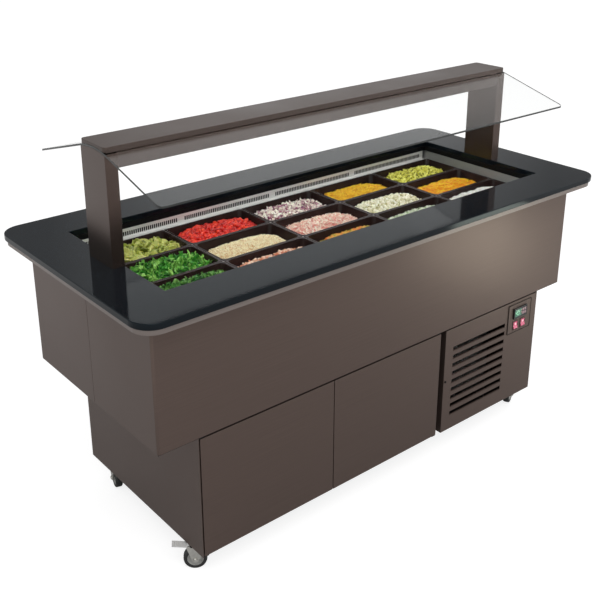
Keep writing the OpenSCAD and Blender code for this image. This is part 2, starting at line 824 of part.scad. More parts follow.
// Controls
module control_plate() {
    body_l = thermostat_l - 2 * bezel_border;
    body_h = thermostat_h - 2 * bezel_border;
    housing_d = 20;
    color(BRONZE) difference() {
        union() {
            translate([plate_x - plate_l / 2, front_y - plate_t, plate_z - plate_h / 2])
                cube([plate_l, plate_t, plate_h]);
            for (x = rocker_xs) {
                translate([x - rocker_w / 2 - 3, rocker_y, rocker_z - rocker_h / 2 - 3])
                    cube([rocker_w + 6, housing_d, rocker_h + 6]);
            }
        }
        for (x = rocker_xs) {
            translate([x - rocker_w / 2 - 0.5, rocker_y - 1, rocker_z - rocker_h / 2 - 0.5])
                cube([rocker_w + 1, housing_d - 2, rocker_h + 1]);
            translate([x, rocker_y + 7, rocker_z]) rod_x(1.5 + pin_fit, rocker_w + 12);
        }
        translate([plate_x - body_l / 2, front_y - plate_t - 1, thermostat_z - body_h / 2])
            cube([body_l, plate_t + 2, body_h]);
    }
}

module thermostat() {
    body_l = thermostat_l - 2 * bezel_border - 0.4;
    body_h = thermostat_h - 2 * bezel_border - 0.4;
    bezel_t = 6;
    y = front_y - plate_t;
    color(BLACK) union() {
        difference() {
            translate([plate_x - thermostat_l / 2, y - bezel_t, thermostat_z - thermostat_h / 2])
                cube([thermostat_l, bezel_t, thermostat_h]);
            translate([plate_x - body_l / 2, y - bezel_t - 1, thermostat_z - body_h / 2])
                cube([body_l, 2, body_h]);
        }
        translate([plate_x - body_l / 2, y - bezel_t / 2, thermostat_z - body_h / 2]) cube([body_l, 55, body_h]);
    }
}

module rocker(x) {
    tilt = rocker_throw / 2;
    half = rocker_h / 2 - 0.5;
    color([0.85, 0.25, 0.30]) translate([x, rocker_y + 7, rocker_z]) union() {
        rotate([-tilt, 0, 0]) along_x(rocker_w) polygon([
            [4, -3], [4, 3], [-2, half - 2.5], [-9, half - 2.5], [-6, 0], [-9, -half + 2.5], [-2, -half + 2.5]
        ]);
        rod_x(1.5, rocker_w + 5);
    }
}

module power_rocker() { rocker(rocker_xs[0]); }

module cooling_rocker() { rocker(rocker_xs[1]); }

// Machine compartment
module compressor() {
    foot_h = 12;
    foot_r = 12;
    plate_w = 150;
    sole_t = 4;
    shoulder_r = 30;
    tube_r = 5;
    color(BLACK) translate([compressor_x, compressor_y, floor_top]) union() {
        for (x = [-1, 1], y = [-1, 1]) {
            translate([x * compressor_r, y * (plate_w / 2 - foot_r), 0]) cylinder(r = foot_r, h = foot_h);
        }
        translate([0, 0, foot_h]) block(2 * (compressor_r + foot_r), plate_w, sole_t);
        translate([0, 0, foot_h + sole_t]) rotate_extrude() union() {
            square([compressor_r, compressor_h - shoulder_r]);
            square([compressor_r - shoulder_r, compressor_h]);
            translate([compressor_r - shoulder_r, compressor_h - shoulder_r]) circle(shoulder_r);
        }
        translate([0, 0, foot_h + compressor_h]) cylinder(r = tube_r, h = 24);
    }
}

module condenser() {
    l = louvre_l - 30;
    fins = 24;
    side_t = 2;
    h = condenser_z + condenser_h / 2 - floor_top;
    color([0.70, 0.70, 0.72]) translate([condenser_x, condenser_y, 0]) union() {
        for (i = [0 : fins]) {
            translate([(i / fins - 0.5) * l, condenser_t / 2, condenser_z - condenser_h / 2])
                block(1, condenser_t, condenser_h);
        }
        for (side = [-1, 1]) {
            translate([side * (l / 2 + side_t / 2), condenser_t / 2, floor_top]) block(side_t, condenser_t, h);
        }
        for (i = [-2 : 2]) {
            translate([0, condenser_t / 2, condenser_z + i * condenser_h / 6]) rod_x(5, l + 16);
        }
    }
}

module motor(r, l) {
    union() {
        translate([0, l / 2, 0]) rod_y(r, l);
        translate([0, -14, 0]) rod_y(shaft_r, 30);
    }
}

module fan_motors() {
    color([0.25, 0.25, 0.27]) union() {
        translate([condenser_x, condenser_fan_y + 14, condenser_z]) union() {
            motor(30, 50);
            translate([0, 40, floor_top - condenser_z]) block(40, 12, condenser_z - floor_top);
        }
        translate([evaporator_fan_x, 0, tub_floor + evaporator_fan_r + 20]) rotate([0, 0, -90]) union() {
            translate([0, 14, 0]) motor(25, 45);
            translate([0, 50, -evaporator_fan_r - 20]) block(30, 10, evaporator_fan_r + 20);
        }
    }
}

module fan(r, blades) {
    hub_l = 20;
    hub_r = r / 4;
    union() {
        difference() {
            rod_y(hub_r, hub_l);
            rod_y(shaft_r + pin_fit, hub_l + 2);
        }
        for (i = [0 : blades - 1]) {
            rotate([0, i * 360 / blades, 0]) translate([hub_r - 2, 0, 0]) rotate([32, 0, 0])
                translate([0, -1, -r / 5]) cube([r - hub_r, 2, r / 2.5]);
        }
    }
}

module condenser_fan() {
    color(PALE) translate([condenser_x, condenser_fan_y, condenser_z]) fan(condenser_fan_r, 5);
}

module evaporator_fan() {
    color(PALE) translate([evaporator_fan_x, 0, tub_floor + evaporator_fan_r + 20])
        rotate([0, 0, -90]) fan(evaporator_fan_r, 5);
}

module screw() {
    union() {
        translate([0, screw_l / 2, 0]) rod_y(screw_r, screw_l);
        translate([0, -screw_head_h / 2, 0]) rod_y(screw_head_r, screw_head_h);
    }
}

module screws() {
    color(BRONZE_DARK) union() {
        machine_screw_place() screw();
        back_screw_places() rotate([0, 0, 180]) screw();
    }
}

module cable_inlet() {
    color(BLACK) translate([compressor_x, back_y, castor_h + 50]) difference() {
        union() {
            rod_y(inlet_r + 5, 30);
            translate([0, 4, 0]) rod_y(inlet_r + 9, 8);
        }
        rod_y(inlet_r, 40);
    }
}

// Castors
module castor_frame(c) {
    translate([c[1] * stem_x, c[2] < 0 ? stem_front : stem_back, 0]) rotate([0, 0, c[3]]) children();
}

module cheek() {
    rotate([90, 0, 0]) linear_extrude(cheek_t, center = true) union() {
        polygon([
            [-16, crown_z + 2], [-16, crown_z - 4], [castor_trail - 11, wheel_r],
            [castor_trail + 11, wheel_r], [brake_x + 6, brake_z - 2], [brake_x + 6, brake_z + 2],
            [34, crown_z + 2]
        ]);
        translate([castor_trail, wheel_r]) circle(11);
        translate([brake_x, brake_z]) circle(6);
    }
}

module fork(c) {
    reach = 2 * (cheek_y + cheek_t);
    color(PALE) castor_frame(c) union() {
        for (s = [-1, 1]) translate([0, s * (cheek_y + cheek_t / 2), 0]) cheek();
        translate([-16, -reach / 2, crown_z]) cube([50, reach, 3]);
        translate([0, 0, crown_z]) cylinder(r = 22, h = crown_top - crown_z);
        translate([0, 0, crown_z]) cylinder(r = stem_r, h = castor_h + 30 - crown_z);
        translate([castor_trail, 0, wheel_r]) rod_y(axle_r, reach + 8);
        translate([brake_x, 0, brake_z]) rod_y(brake_r, reach);
    }
}

module wheel(c) {
    hub_w = 2 * cheek_y - run_gap;
    color(BLACK) castor_frame(c) translate([castor_trail, 0, wheel_r]) rotate([90, 0, 0])
        rotate_extrude() difference() {
            union() {
                translate([wheel_r - 12, -wheel_w / 2 + 3]) square([12, wheel_w - 6]);
                translate([wheel_r - 12, -wheel_w / 2]) square([9, wheel_w]);
                for (s = [-1, 1]) translate([wheel_r - 3, s * (wheel_w / 2 - 3)]) circle(3);
                translate([0, -wheel_w / 4]) square([wheel_r - 10, wheel_w / 2]);
                translate([0, -hub_w / 2]) square([axle_r + 6, hub_w]);
            }
            translate([-10, -hub_w]) square([10 + axle_r + pin_fit, 2 * hub_w]);
        }
}

module brake(c) {
    w = 2 * cheek_y - run_gap;
    lean = atan2(brake_z - wheel_r, brake_x - castor_trail);
    span = sqrt(pow(brake_z - wheel_r, 2) + pow(brake_x - castor_trail, 2));
    shoe = span - wheel_r - 0.4;
    pad_l = 50;
    pad_w = w - 2;
    pad_t = 3;
    pad_rise = 8;
    boss_r = brake_r + 3;
    start = brake_r + 1;
    color(PALE) castor_frame(c) translate([brake_x, 0, brake_z]) union() {
        difference() {
            rod_y(boss_r, w);
            rod_y(brake_r + pin_fit, w + 2);
        }
        rotate([0, -pad_rise, 0]) translate([start, -pad_w / 2, -pad_t / 2]) cube([pad_l + 2 - start, pad_w, pad_t]);
        rotate([0, -lean - brake_swing, 0]) translate([-shoe, -w / 4, -2]) cube([shoe - start, w / 2, 4]);
    }
}

worktop();
worktop_rim();
opening_frame();
tub_liner();
air_grilles();
insulation();
front_wrap();
rear_wrap();
undertray();
evaporator_coil();
drain_spout();
pan_rest_bars();
left_post();
right_post();
guard_beam();
beam_cap();
sneeze_glass();
base_frame();
left_side_panel();
right_side_panel();
back_panel();
machine_panel();
control_plate();
thermostat();
compressor();
condenser();
fan_motors();
screws();
cable_inlet();
left_door();
centre_door();
power_rocker();
cooling_rocker();
evaporator_fan();
condenser_fan();
for (c = CASTORS) {
    fork(c);
    wheel(c);
}
brake(CASTORS[0]);  // front_left_brake
brake(CASTORS[1]);  // front_right_brake
for (c = [0 : COLUMNS - 1], r = [0 : len(ROWS) - 1]) {
    pan(c, r);
}
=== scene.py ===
"""Looks of an island salad bar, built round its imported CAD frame.

Every operator finishes one piece or one group of like pieces. The sizes and colours
that a user may want to change are properties of the scene.
"""

import json
import math
import random

import bmesh
import bpy
import numpy as np
from mathutils import Matrix, Vector, noise

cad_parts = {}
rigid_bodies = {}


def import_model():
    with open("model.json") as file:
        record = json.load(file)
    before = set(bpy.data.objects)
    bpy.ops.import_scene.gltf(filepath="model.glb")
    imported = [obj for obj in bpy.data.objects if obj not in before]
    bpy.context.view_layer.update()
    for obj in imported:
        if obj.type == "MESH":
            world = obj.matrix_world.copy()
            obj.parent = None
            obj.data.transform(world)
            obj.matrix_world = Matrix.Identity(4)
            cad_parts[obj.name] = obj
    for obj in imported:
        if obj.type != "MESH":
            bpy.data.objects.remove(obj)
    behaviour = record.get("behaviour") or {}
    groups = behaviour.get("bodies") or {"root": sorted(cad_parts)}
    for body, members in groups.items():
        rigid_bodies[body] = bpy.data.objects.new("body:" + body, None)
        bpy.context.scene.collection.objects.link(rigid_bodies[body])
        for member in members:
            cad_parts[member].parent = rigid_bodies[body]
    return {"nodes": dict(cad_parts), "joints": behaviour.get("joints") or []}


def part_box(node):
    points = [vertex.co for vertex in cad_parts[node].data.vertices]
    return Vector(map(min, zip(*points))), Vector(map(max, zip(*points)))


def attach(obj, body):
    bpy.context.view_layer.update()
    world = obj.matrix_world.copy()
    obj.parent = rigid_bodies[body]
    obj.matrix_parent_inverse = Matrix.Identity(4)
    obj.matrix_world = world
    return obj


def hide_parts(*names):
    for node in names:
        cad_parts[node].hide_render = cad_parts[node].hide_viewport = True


bl_info = {
    "name": "Island Salad Bar",
    "version": (1, 0, 0),
    "blender": (4, 5, 0),
    "location": "3D View > Sidebar > Salad Bar",
    "description": "Finishes of a refrigerated island salad bar, its food and its studio",
    "category": "Object",
}

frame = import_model()
NODES = frame["nodes"]
JOINTS = {joint["name"]: joint for joint in frame["joints"]}
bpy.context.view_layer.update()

COLUMNS = 5
ROWS = ("front", "middle", "back")
CASTORS = ("front_left", "front_right", "back_left", "back_right")
BRAKED = ("front_left", "front_right")
RIM_LOW, RIM_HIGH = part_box("pan_1_front")
PAN_LENGTH = round(RIM_HIGH.x - RIM_LOW.x, 4)
PAN_WIDTH = round(RIM_HIGH.y - RIM_LOW.y, 4)
PAN_TOP = RIM_HIGH.z
PAN_FLOOR = RIM_LOW.z
TAU = 2 * math.pi
# How much rounder a pan's corners are inside than at its rim
INNER_CORNER = 0.012


def colour_property(name, description, value):
    return bpy.props.FloatVectorProperty(
        name=name, description=description, subtype="COLOR", size=3, min=0, max=1, default=value
    )


def number_property(name, description, value, **more):
    return bpy.props.FloatProperty(name=name, description=description, default=value, **more)


def length_property(name, description, value, low, high):
    return number_property(name, description, value, min=low, max=high, unit="LENGTH", precision=4)


class FinishSettings(bpy.types.PropertyGroup):
    """Colours of the unit's finishes"""

    stone: colour_property("Stone", "Polished stone of the worktop", (0.0050, 0.0072, 0.0100))
    bronze: colour_property("Bronze", "Satin metal of the body and the base", (0.116, 0.083, 0.071))
    rim: colour_property("Rim", "Metal strip below the stone", (0.22, 0.185, 0.17))
    steel: colour_property("Stainless", "Brushed steel of the cold well", (0.80, 0.80, 0.78))
    zinc: colour_property("Zinc", "Plated steel of the castors", (0.50, 0.49, 0.46))
    plastic: colour_property(
        "Plastic", "Dark plastic and dark painted steel", (0.012, 0.012, 0.013)
    )
    pan: colour_property("Pans", "Gloss plastic of the pans", (0.020, 0.011, 0.010))
    glass: colour_property("Glass", "Tint of the sneeze guard's glass", (0.985, 0.993, 0.990))
    glass_edge: colour_property("Glass edge", "Ground edge of the glass", (0.010, 0.013, 0.012))
    tyre: colour_property("Tyres", "Rubber of the tyres", (0.016, 0.016, 0.016))
    rocker: colour_property("Rockers", "Lit rockers on the control plate", (0.62, 0.09, 0.19))


class EdgeSettings(bpy.types.PropertyGroup):
    """Rounding of the edges"""

    stone: length_property("Stone", "Eased edge of the stone", 0.0025, 0, 0.008)
    sheet: length_property("Sheet metal", "Fold and edge of the sheet metal", 0.0012, 0, 0.004)
    fine: length_property("Fine edges", "Edge of thin strips and small parts", 0.0004, 0, 0.001)
    glass: length_property("Glass", "Ground edge of the glass", 0.0012, 0, 0.0028)


class PanSettings(bpy.types.PropertyGroup):
    """Pans and their food"""

    rim: length_property("Rim", "Width of a pan's rim", 0.007, 0.004, 0.012)
    wall: length_property("Wall", "Wall of a pan", 0.0025, 0.001, 0.004)
    corner: length_property("Corner", "Corner radius of a pan's rim", 0.005, 0.004, 0.02)
    draft: length_property("Draft", "How much narrower a pan is at its floor", 0.003, 0, 0.008)
    crown: length_property("Crown", "Level of the food's crown below the rim", 0.013, 0.004, 0.03)
    fall: length_property("Fall", "How much lower the food is at its edges", 0.022, 0.004, 0.03)
    seed: bpy.props.IntProperty(
        name="Seed", description="Order of the random draws", default=7, min=0
    )


class StageSettings(bpy.types.PropertyGroup):
    """Camera, floor and lights"""

    lens: number_property("Lens", "Focal length in millimetres", 56.33)
    drop: number_property("Shift", "Vertical shift of the lens", -0.1333)
    place: bpy.props.FloatVectorProperty(
        name="Place",
        description="Place of the camera",
        subtype="TRANSLATION",
        default=(-2.0403, -2.3334, 2.068),
    )
    tilt: number_property("Tilt", "Camera's angle from the vertical", 69.34)
    turn: number_property("Turn", "Camera's turn about the vertical", -39.70)
    floor: colour_property("Floor", "Studio floor", (0.34, 0.34, 0.34))
    sky: number_property("Sky", "Strength of the light from all round", 0.62)
    key: number_property("Key", "Power of the large lamp", 60, unit="POWER")
    fill: number_property("Fill", "Power of the side lamp", 25, unit="POWER")
    band: number_property("Band", "Power of the low lamp", 2.4, unit="POWER")


def settings(name):
    return getattr(bpy.context.scene, "salad_bar_" + name)


# Nodes and materials


def feed(tree, node, inputs):
    """Links or sets inputs of a node."""
    for key, value in inputs.items():
        if isinstance(value, bpy.types.NodeSocket):
            tree.links.new(value, node.inputs[key])
        else:
            node.inputs[key].default_value = value


def add_node(tree, kind, inputs=None, **values):
    """A node with its values set and its inputs set or linked."""
    made = tree.nodes.new(kind)
    for key, value in values.items():
        setattr(made, key, value)
    feed(tree, made, inputs or {})
    return made


def linear(red, green, blue):
    """Scene colour of a colour given in display steps from 0 to 255."""

    def channel(value):
        value /= 255
        return value / 12.92 if value <= 0.04045 else ((value + 0.055) / 1.055) ** 2.4

    return channel(red), channel(green), channel(blue)


def scaled(colour, factor):
    return tuple(min(1.0, part * factor) for part in colour)


def material(name):
    made = bpy.data.materials.new(name)
    made.use_nodes = True
    tree = made.node_tree
    tree.nodes.clear()
    shader = add_node(tree, "ShaderNodeBsdfPrincipled")
    add_node(tree, "ShaderNodeOutputMaterial", {"Surface": shader.outputs["BSDF"]})
    return made, tree, shader


def object_place(tree, scale=(1, 1, 1)):
    coordinates = add_node(tree, "ShaderNodeTexCoord")
    inputs = {"Vector": coordinates.outputs["Object"], "Scale": scale}
    return add_node(tree, "ShaderNodeMapping", inputs).outputs["Vector"]


def noise_at(tree, place, scale, detail=3.0, roughness=0.5):
    inputs = {"Vector": place, "Scale": scale, "Detail": detail, "Roughness": roughness}
    return add_node(tree, "ShaderNodeTexNoise", inputs).outputs["Fac"]


def span(tree, value, low, high, start=0.0, end=1.0):
    """value between start and end, mapped to low and high."""
    inputs = {"Value": value, "From Min": start, "From Max": end, "To Min": low, "To Max": high}
    return add_node(tree, "ShaderNodeMapRange", inputs).outputs["Result"]


def maths(tree, operation, *values):
    return add_node(tree, "ShaderNodeMath", dict(enumerate(values)), operation=operation).outputs[0]


def blend(tree, factor, first, second):
    """The first colour where factor is 0, the second where it is 1."""
    made = add_node(tree, "ShaderNodeMix", {"Factor": factor}, data_type="RGBA")
    tree.links.new(first, made.inputs[6])
    tree.links.new(second, made.inputs[7])
    return made.outputs[2]


def mixed(tree, factor, first, second):
    """The first shader where factor is 0, the second where it is 1."""
    return add_node(tree, "ShaderNodeMixShader", {0: factor, 1: first, 2: second}).outputs[0]


def ramp(tree, value, stops):
    made = add_node(tree, "ShaderNodeValToRGB", {"Fac": value})
    elements = made.color_ramp.elements
    while len(elements) > 1:
        elements.remove(elements[-1])
    elements[0].position = stops[0][0]
    elements[0].color = (*stops[0][1], 1)
    for position, colour in stops[1:]:
        elements.new(position).color = (*colour, 1)
    return made.outputs["Color"]


def bump(tree, shader, height, strength, distance, earlier=None):
    inputs = {"Height": height, "Strength": strength, "Distance": distance}
    if earlier is not None:
        inputs["Normal"] = earlier
    made = add_node(tree, "ShaderNodeBump", inputs)
    tree.links.new(made.outputs["Normal"], shader.inputs["Normal"])
    return made.outputs["Normal"]


def stone_finish():
    colour = tuple(settings("finish").stone)
    made, tree, shader = material("polished_stone")
    place = object_place(tree)
    grain = add_node(tree, "ShaderNodeTexVoronoi", {"Vector": place, "Scale": 520.0})
    flecks = noise_at(tree, place, 260.0, 4.0, 0.65)
    cloud = noise_at(tree, place, 9.0, 4.0)
    dark_stops = [(0.0, scaled(colour, 2.6)), (0.22, colour), (1.0, colour)]
    pale_stops = [(0.0, scaled(colour, 0.6)), (0.62, colour), (0.74, scaled(colour, 4.0))]
    dark = ramp(tree, grain.outputs["Distance"], dark_stops)
    pale = ramp(tree, flecks, pale_stops)
    inputs = {
        "Base Color": blend(tree, cloud, dark, pale),
        "Roughness": span(tree, cloud, 0.05, 0.10, 0.3, 0.7),
        "Specular IOR Level": 0.14,
        "Specular Tint": (0.78, 0.93, 1.0, 1),
    }
    feed(tree, shader, inputs)
    bump(tree, shader, flecks, 0.02, 0.0004)
    return made


def satin_metal(
    name, colour, roughness=0.40, metallic=0.40, grain=0.05, level=0.35, along=(3.0, 3.0, 700.0)
):
    """Coated sheet metal with a fine grain along it and slightly uneven sheets."""
    made, tree, shader = material(name)
    place = object_place(tree)
    streaks = noise_at(tree, object_place(tree, along), 1.0, 3.0, 0.6)
    specks = noise_at(tree, place, 900.0, 2.0)
    cloud = noise_at(tree, place, 2.2, 2.0)
    wear = maths(tree, "ADD", streaks, cloud)
    dark, pale = scaled(colour, 1 - 2 * grain), scaled(colour, 1 + 2 * grain)
    inputs = {
        "Base Color": ramp(tree, streaks, [(0.25, dark), (0.5, colour), (0.75, pale)]),
        "Metallic": metallic,
        "Specular IOR Level": level,
        "Roughness": span(tree, wear, roughness - grain, roughness + 1.2 * grain, 0.7, 1.3),
    }
    feed(tree, shader, inputs)
    waves = bump(tree, shader, cloud, 0.25, 0.004)
    bump(tree, shader, specks, grain, 0.0002, waves)
    return made


def brushed_steel(name, colour, roughness=0.3, along=(3.0, 700.0, 700.0), metallic=1.0):
    made, tree, shader = material(name)
    streaks = noise_at(tree, object_place(tree, along), 1.0, 4.0, 0.65)
    cloud = noise_at(tree, object_place(tree), 14.0, 3.0)
    wear = maths(tree, "ADD", streaks, cloud)
    dark, pale = scaled(colour, 0.86), scaled(colour, 1.12)
    inputs = {
        "Base Color": ramp(tree, streaks, [(0.3, dark), (0.7, pale)]),
        "Metallic": metallic,
        "Roughness": span(tree, wear, roughness - 0.06, roughness + 0.08, 0.7, 1.3),
    }
    feed(tree, shader, inputs)
    bump(tree, shader, streaks, 0.08, 0.0002)
    return made


def moulded_plastic(name, colour, roughness=0.4, texture=0.15, scale=600.0, level=0.5):
    made, tree, shader = material(name)
    place = object_place(tree)
    pores = noise_at(tree, place, scale, 3.0, 0.6)
    cloud = noise_at(tree, place, 18.0, 3.0)
    inputs = {
        "Base Color": ramp(tree, cloud, [(0.3, scaled(colour, 0.85)), (0.7, scaled(colour, 1.15))]),
        "Roughness": span(tree, cloud, roughness - 0.05, roughness + 0.06, 0.3, 0.7),
        "Specular IOR Level": level,
    }
    feed(tree, shader, inputs)
    bump(tree, shader, pores, texture, 0.0002)
    return made


def clear_glass():
    """Glass that lets lamps through, so that what is below it is lit."""
    made, tree, shader = material("clear_glass")
    colour = tuple(settings("finish").glass)
    smears = noise_at(tree, object_place(tree), 7.0, 3.0)
    inputs = {
        "Base Color": ramp(tree, smears, [(0.3, scaled(colour, 0.99)), (0.7, colour)]),
        "Transmission Weight": 1.0,
        "Roughness": 0.0,
        "IOR": 1.25,
    }
    feed(tree, shader, inputs)
    shadow = add_node(tree, "ShaderNodeLightPath").outputs["Is Shadow Ray"]
    way = add_node(tree, "ShaderNodeBsdfTransparent", {"Color": (*scaled(colour, 0.97), 1)})
    surface = mixed(tree, shadow, shader.outputs["BSDF"], way.outputs["BSDF"])
    out = next(n for n in tree.nodes if n.type == "OUTPUT_MATERIAL")
    tree.links.new(surface, out.inputs["Surface"])
    return made


def lit_plastic(name, colour, light):
    """Translucent plastic that glows as if a lamp were behind it."""
    made, tree, shader = material(name)
    cloud = noise_at(tree, object_place(tree), 160.0, 2.0)
    tint = ramp(tree, cloud, [(0.3, scaled(colour, 0.8)), (0.7, colour)])
    inputs = {"Base Color": tint, "Emission Color": tint, "Emission Strength": light}
    feed(tree, shader, inputs | {"Roughness": 0.25})
    return made


def food_finish(name, tones, roughness=0.45, wet=0.0, soft=0.0, mottle=0.5):
    """Colours drawn for each morsel from its tone, with mottling over it."""
    made, tree, shader = material(name)
    tone = add_node(tree, "ShaderNodeAttribute", attribute_name="tone").outputs["Fac"]
    spots = noise_at(tree, object_place(tree), 220.0, 4.0, 0.6)
    drawn = ramp(tree, tone, tones)
    darker = {"Color": drawn, "Value": 0.62, "Saturation": 1.08}
    shaded = add_node(tree, "ShaderNodeHueSaturation", darker).outputs["Color"]
    inputs = {
        "Base Color": blend(tree, span(tree, spots, 0.0, mottle, 0.4, 0.75), drawn, shaded),
        "Roughness": span(tree, spots, roughness - 0.08, roughness + 0.1, 0.3, 0.7),
        "Coat Weight": wet,
        "Coat Roughness": 0.08,
        "Subsurface Weight": soft,
        "Subsurface Radius": (0.004, 0.002, 0.001),
        "Subsurface Scale": 1.0,
    }
    feed(tree, shader, inputs)
    bump(tree, shader, spots, 0.3, 0.0006)
    return made


FINISHES = {}


def finish_table():
    """The maker of each finish, and what it is called with."""
    colours = settings("finish")
    bronze, steel, plastic = tuple(colours.bronze), tuple(colours.steel), tuple(colours.plastic)
    pores, along_x = 600.0, (3.0, 700.0, 700.0)
    post_bronze, post_grain = scaled(bronze, 0.70), (60.0, 60.0, 1.0)
    return {
        "stone": (stone_finish,),
        "bronze": (satin_metal, "satin_bronze", bronze, 0.36, 0.7),
        "post": (satin_metal, "post_bronze", post_bronze, 0.27, 0.85, 0.003, 0.35, post_grain),
        "cap": (satin_metal, "cap_bronze", scaled(bronze, 0.64), 0.40, 0.40),
        "rim": (satin_metal, "rim_metal", tuple(colours.rim), 0.34, 0.5),
        "dark_metal": (moulded_plastic, "black_paint", scaled(plastic, 0.5), 0.5, 0.2, pores, 0.2),
        "breaker": (moulded_plastic, "breaker_plastic", scaled(plastic, 0.4), 0.5, 0.2, pores, 0.1),
        "steel": (brushed_steel, "brushed_stainless", steel, 0.48, along_x, 0.62),
        # The well's tub: the stainless darkened to 0.38 as painted shade, for the dark slab and
        # ring that its walls mirror.
        "tub": (brushed_steel, "tub_stainless", scaled(steel, 0.38), 0.36, along_x, 0.85),
        "pedal": (moulded_plastic, "pedal_grey", (0.72, 0.72, 0.71), 0.35, 0.1),
        "zinc": (brushed_steel, "zinc_plate", tuple(colours.zinc), 0.34, (60.0, 60.0, 60.0)),
        "fins": (brushed_steel, "fin_aluminium", (0.62, 0.62, 0.63), 0.3, (40.0, 40.0, 40.0)),
        "screw": (moulded_plastic, "black_screw", (0.004, 0.004, 0.004), 0.5, 0.1, pores, 0.1),
        "plastic": (moulded_plastic, "black_plastic", plastic, 0.45, 0.25),
        "gloss": (moulded_plastic, "gloss_black", scaled(plastic, 0.7), 0.12, 0.02),
        "pan": (moulded_plastic, "pan_plastic", tuple(colours.pan), 0.20, 0.05, 300.0, 0.22),
        "pale": (moulded_plastic, "grey_plastic", (0.42, 0.42, 0.40), 0.4, 0.15),
        "liner": (moulded_plastic, "door_liner", (0.55, 0.55, 0.53), 0.35, 0.1),
        "gasket": (moulded_plastic, "door_gasket", (0.05, 0.05, 0.052), 0.55, 0.3),
        "tyre": (moulded_plastic, "tyre_rubber", tuple(colours.tyre), 0.5, 0.4, 400.0),
        "foam": (moulded_plastic, "foam", (0.72, 0.62, 0.36), 0.85, 0.6, 250.0),
        "glass": (clear_glass,),
        "glass_edge": (moulded_plastic, "ground_glass_edge", tuple(colours.glass_edge), 0.22, 0.05),
        "rocker": (lit_plastic, "lit_rocker", tuple(colours.rocker), 0.3),
        "lamp": (lit_plastic, "rocker_lamp", (1.0, 0.55, 0.62), 0.45),
        "screen": (lit_plastic, "display_screen", (0.09, 0.22, 0.15), 0.3),
        "display": (lit_plastic, "display_digits", (0.45, 1.0, 0.62), 0.9),
        "signal": (lit_plastic, "display_signal", (0.9, 0.16, 0.2), 0.9),
        "keys": (moulded_plastic, "key_plastic", (0.40, 0.26, 0.285), 0.3, 0.1),
    }


def finish_named(name):
    if name not in FINISHES:
        make, *values = finish_table()[name]
        FINISHES[name] = make(*values)
    return FINISHES[name]


# Meshes


def link(mesh_object):
    bpy.context.scene.collection.objects.link(mesh_object)
    return mesh_object


def shade(mesh, angle=30.0):
    """Smooth faces with sharp edges where they meet at more than angle."""
    mesh.polygons.foreach_set("use_smooth", [True] * len(mesh.polygons))
    mesh.set_sharp_from_angle(angle=math.radians(angle))
    mesh.update()


def object_of(name, bm, finishes, angle=30.0, outward=True):
    """A new object from a bmesh, with its normals outwards."""
    if outward:
        bmesh.ops.recalc_face_normals(bm, faces=bm.faces)
    mesh = bpy.data.meshes.new(name)
    bm.to_mesh(mesh)
    bm.free()
    for finish in finishes:
        mesh.materials.append(finish)
    shade(mesh, angle)
    return link(bpy.data.objects.new(name, mesh))


def settle(piece, body, stands_for=()):
    """Gives a finished piece to its body and hides the nodes that it stands for."""
    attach(piece, body)
    if stands_for:
        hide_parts(*stands_for)


def put(name, bm, finish, angle, body, stands_for=()):
    """A new piece from a bmesh in one finish, given to its body, with the nodes it stands for
    hidden.
    """
    settle(object_of(name, bm, [finish_named(finish)], angle), body, stands_for)


def dress(node, finish, edge=0.0, segments=2, angle=40.0):
    """A CAD node that stays: its finish, and its edges rounded by modifiers."""
    piece = NODES[node]
    piece.data.materials.clear()
    piece.data.materials.append(finish_named(finish))
    if edge:
        weld = piece.modifiers.new("weld", "WELD")
        weld.merge_threshold = 0.00001
        flat = piece.modifiers.new("flat", "DECIMATE")
        flat.decimate_type = "DISSOLVE"
        flat.angle_limit = math.radians(0.5)
        rounded = piece.modifiers.new("edges", "BEVEL")
        rounded.width = edge
        rounded.segments = segments
        rounded.limit_method = "ANGLE"
        rounded.angle_limit = math.radians(angle)
        rounded.harden_normals = True


def loop(length, width, radius, height, steps=5, centre=(0.0, 0.0)):
    """Points round a rectangle with rounded corners, at one height."""
    radius = min(radius, length / 2 - 1e-5, width / 2 - 1e-5)
    points = []
    for corner in range(4):
        cx = (length / 2 - radius) * (1 if corner in (0, 3) else -1)
        cy = (width / 2 - radius) * (1 if corner < 2 else -1)
        for step in range(steps + 1):
            angle = (corner + step / steps) * TAU / 4
            x = centre[0] + cx + radius * math.cos(angle)
            y = centre[1] + cy + radius * math.sin(angle)
            points.append((x, y, height))
    return points


def loft(bm, rings, turn=None, caps=(True, True), finish=0):
    """Quads between rings of equally many points, and a face at each end with a cap."""
    made = []
    for ring in rings:
        points = [Vector(point) for point in ring]
        if turn is not None:
            points = [turn @ point for point in points]
        made.append([bm.verts.new(point) for point in points])
    count = len(made[0])
    for low, high in zip(made, made[1:]):
        for i in range(count):
            face = bm.faces.new((low[i], low[(i + 1) % count], high[(i + 1) % count], high[i]))
            face.material_index = finish
    if caps[0]:
        bm.faces.new(list(reversed(made[0]))).material_index = finish
    if caps[1]:
        bm.faces.new(made[-1]).material_index = finish
    return made


def hoop(bm, rings, turn):
    """A closed ring through loops of points, the last of them joined to the first."""
    made = loft(bm, rings, turn, (False, False))
    count = len(made[0])
    for i in range(count):
        bm.faces.new((made[-1][i], made[-1][(i + 1) % count], made[0][(i + 1) % count], made[0][i]))


def lathe(bm, profile, turn, steps=48, finish=0):
    """A closed shape turned about local Z from (radius, height) points, flat at both ends."""
    turns = [i * TAU / steps for i in range(steps)]
    rings = [[(r * math.cos(a), r * math.sin(a), height) for a in turns] for r, height in profile]
    loft(bm, rings, turn, (True, True), finish)


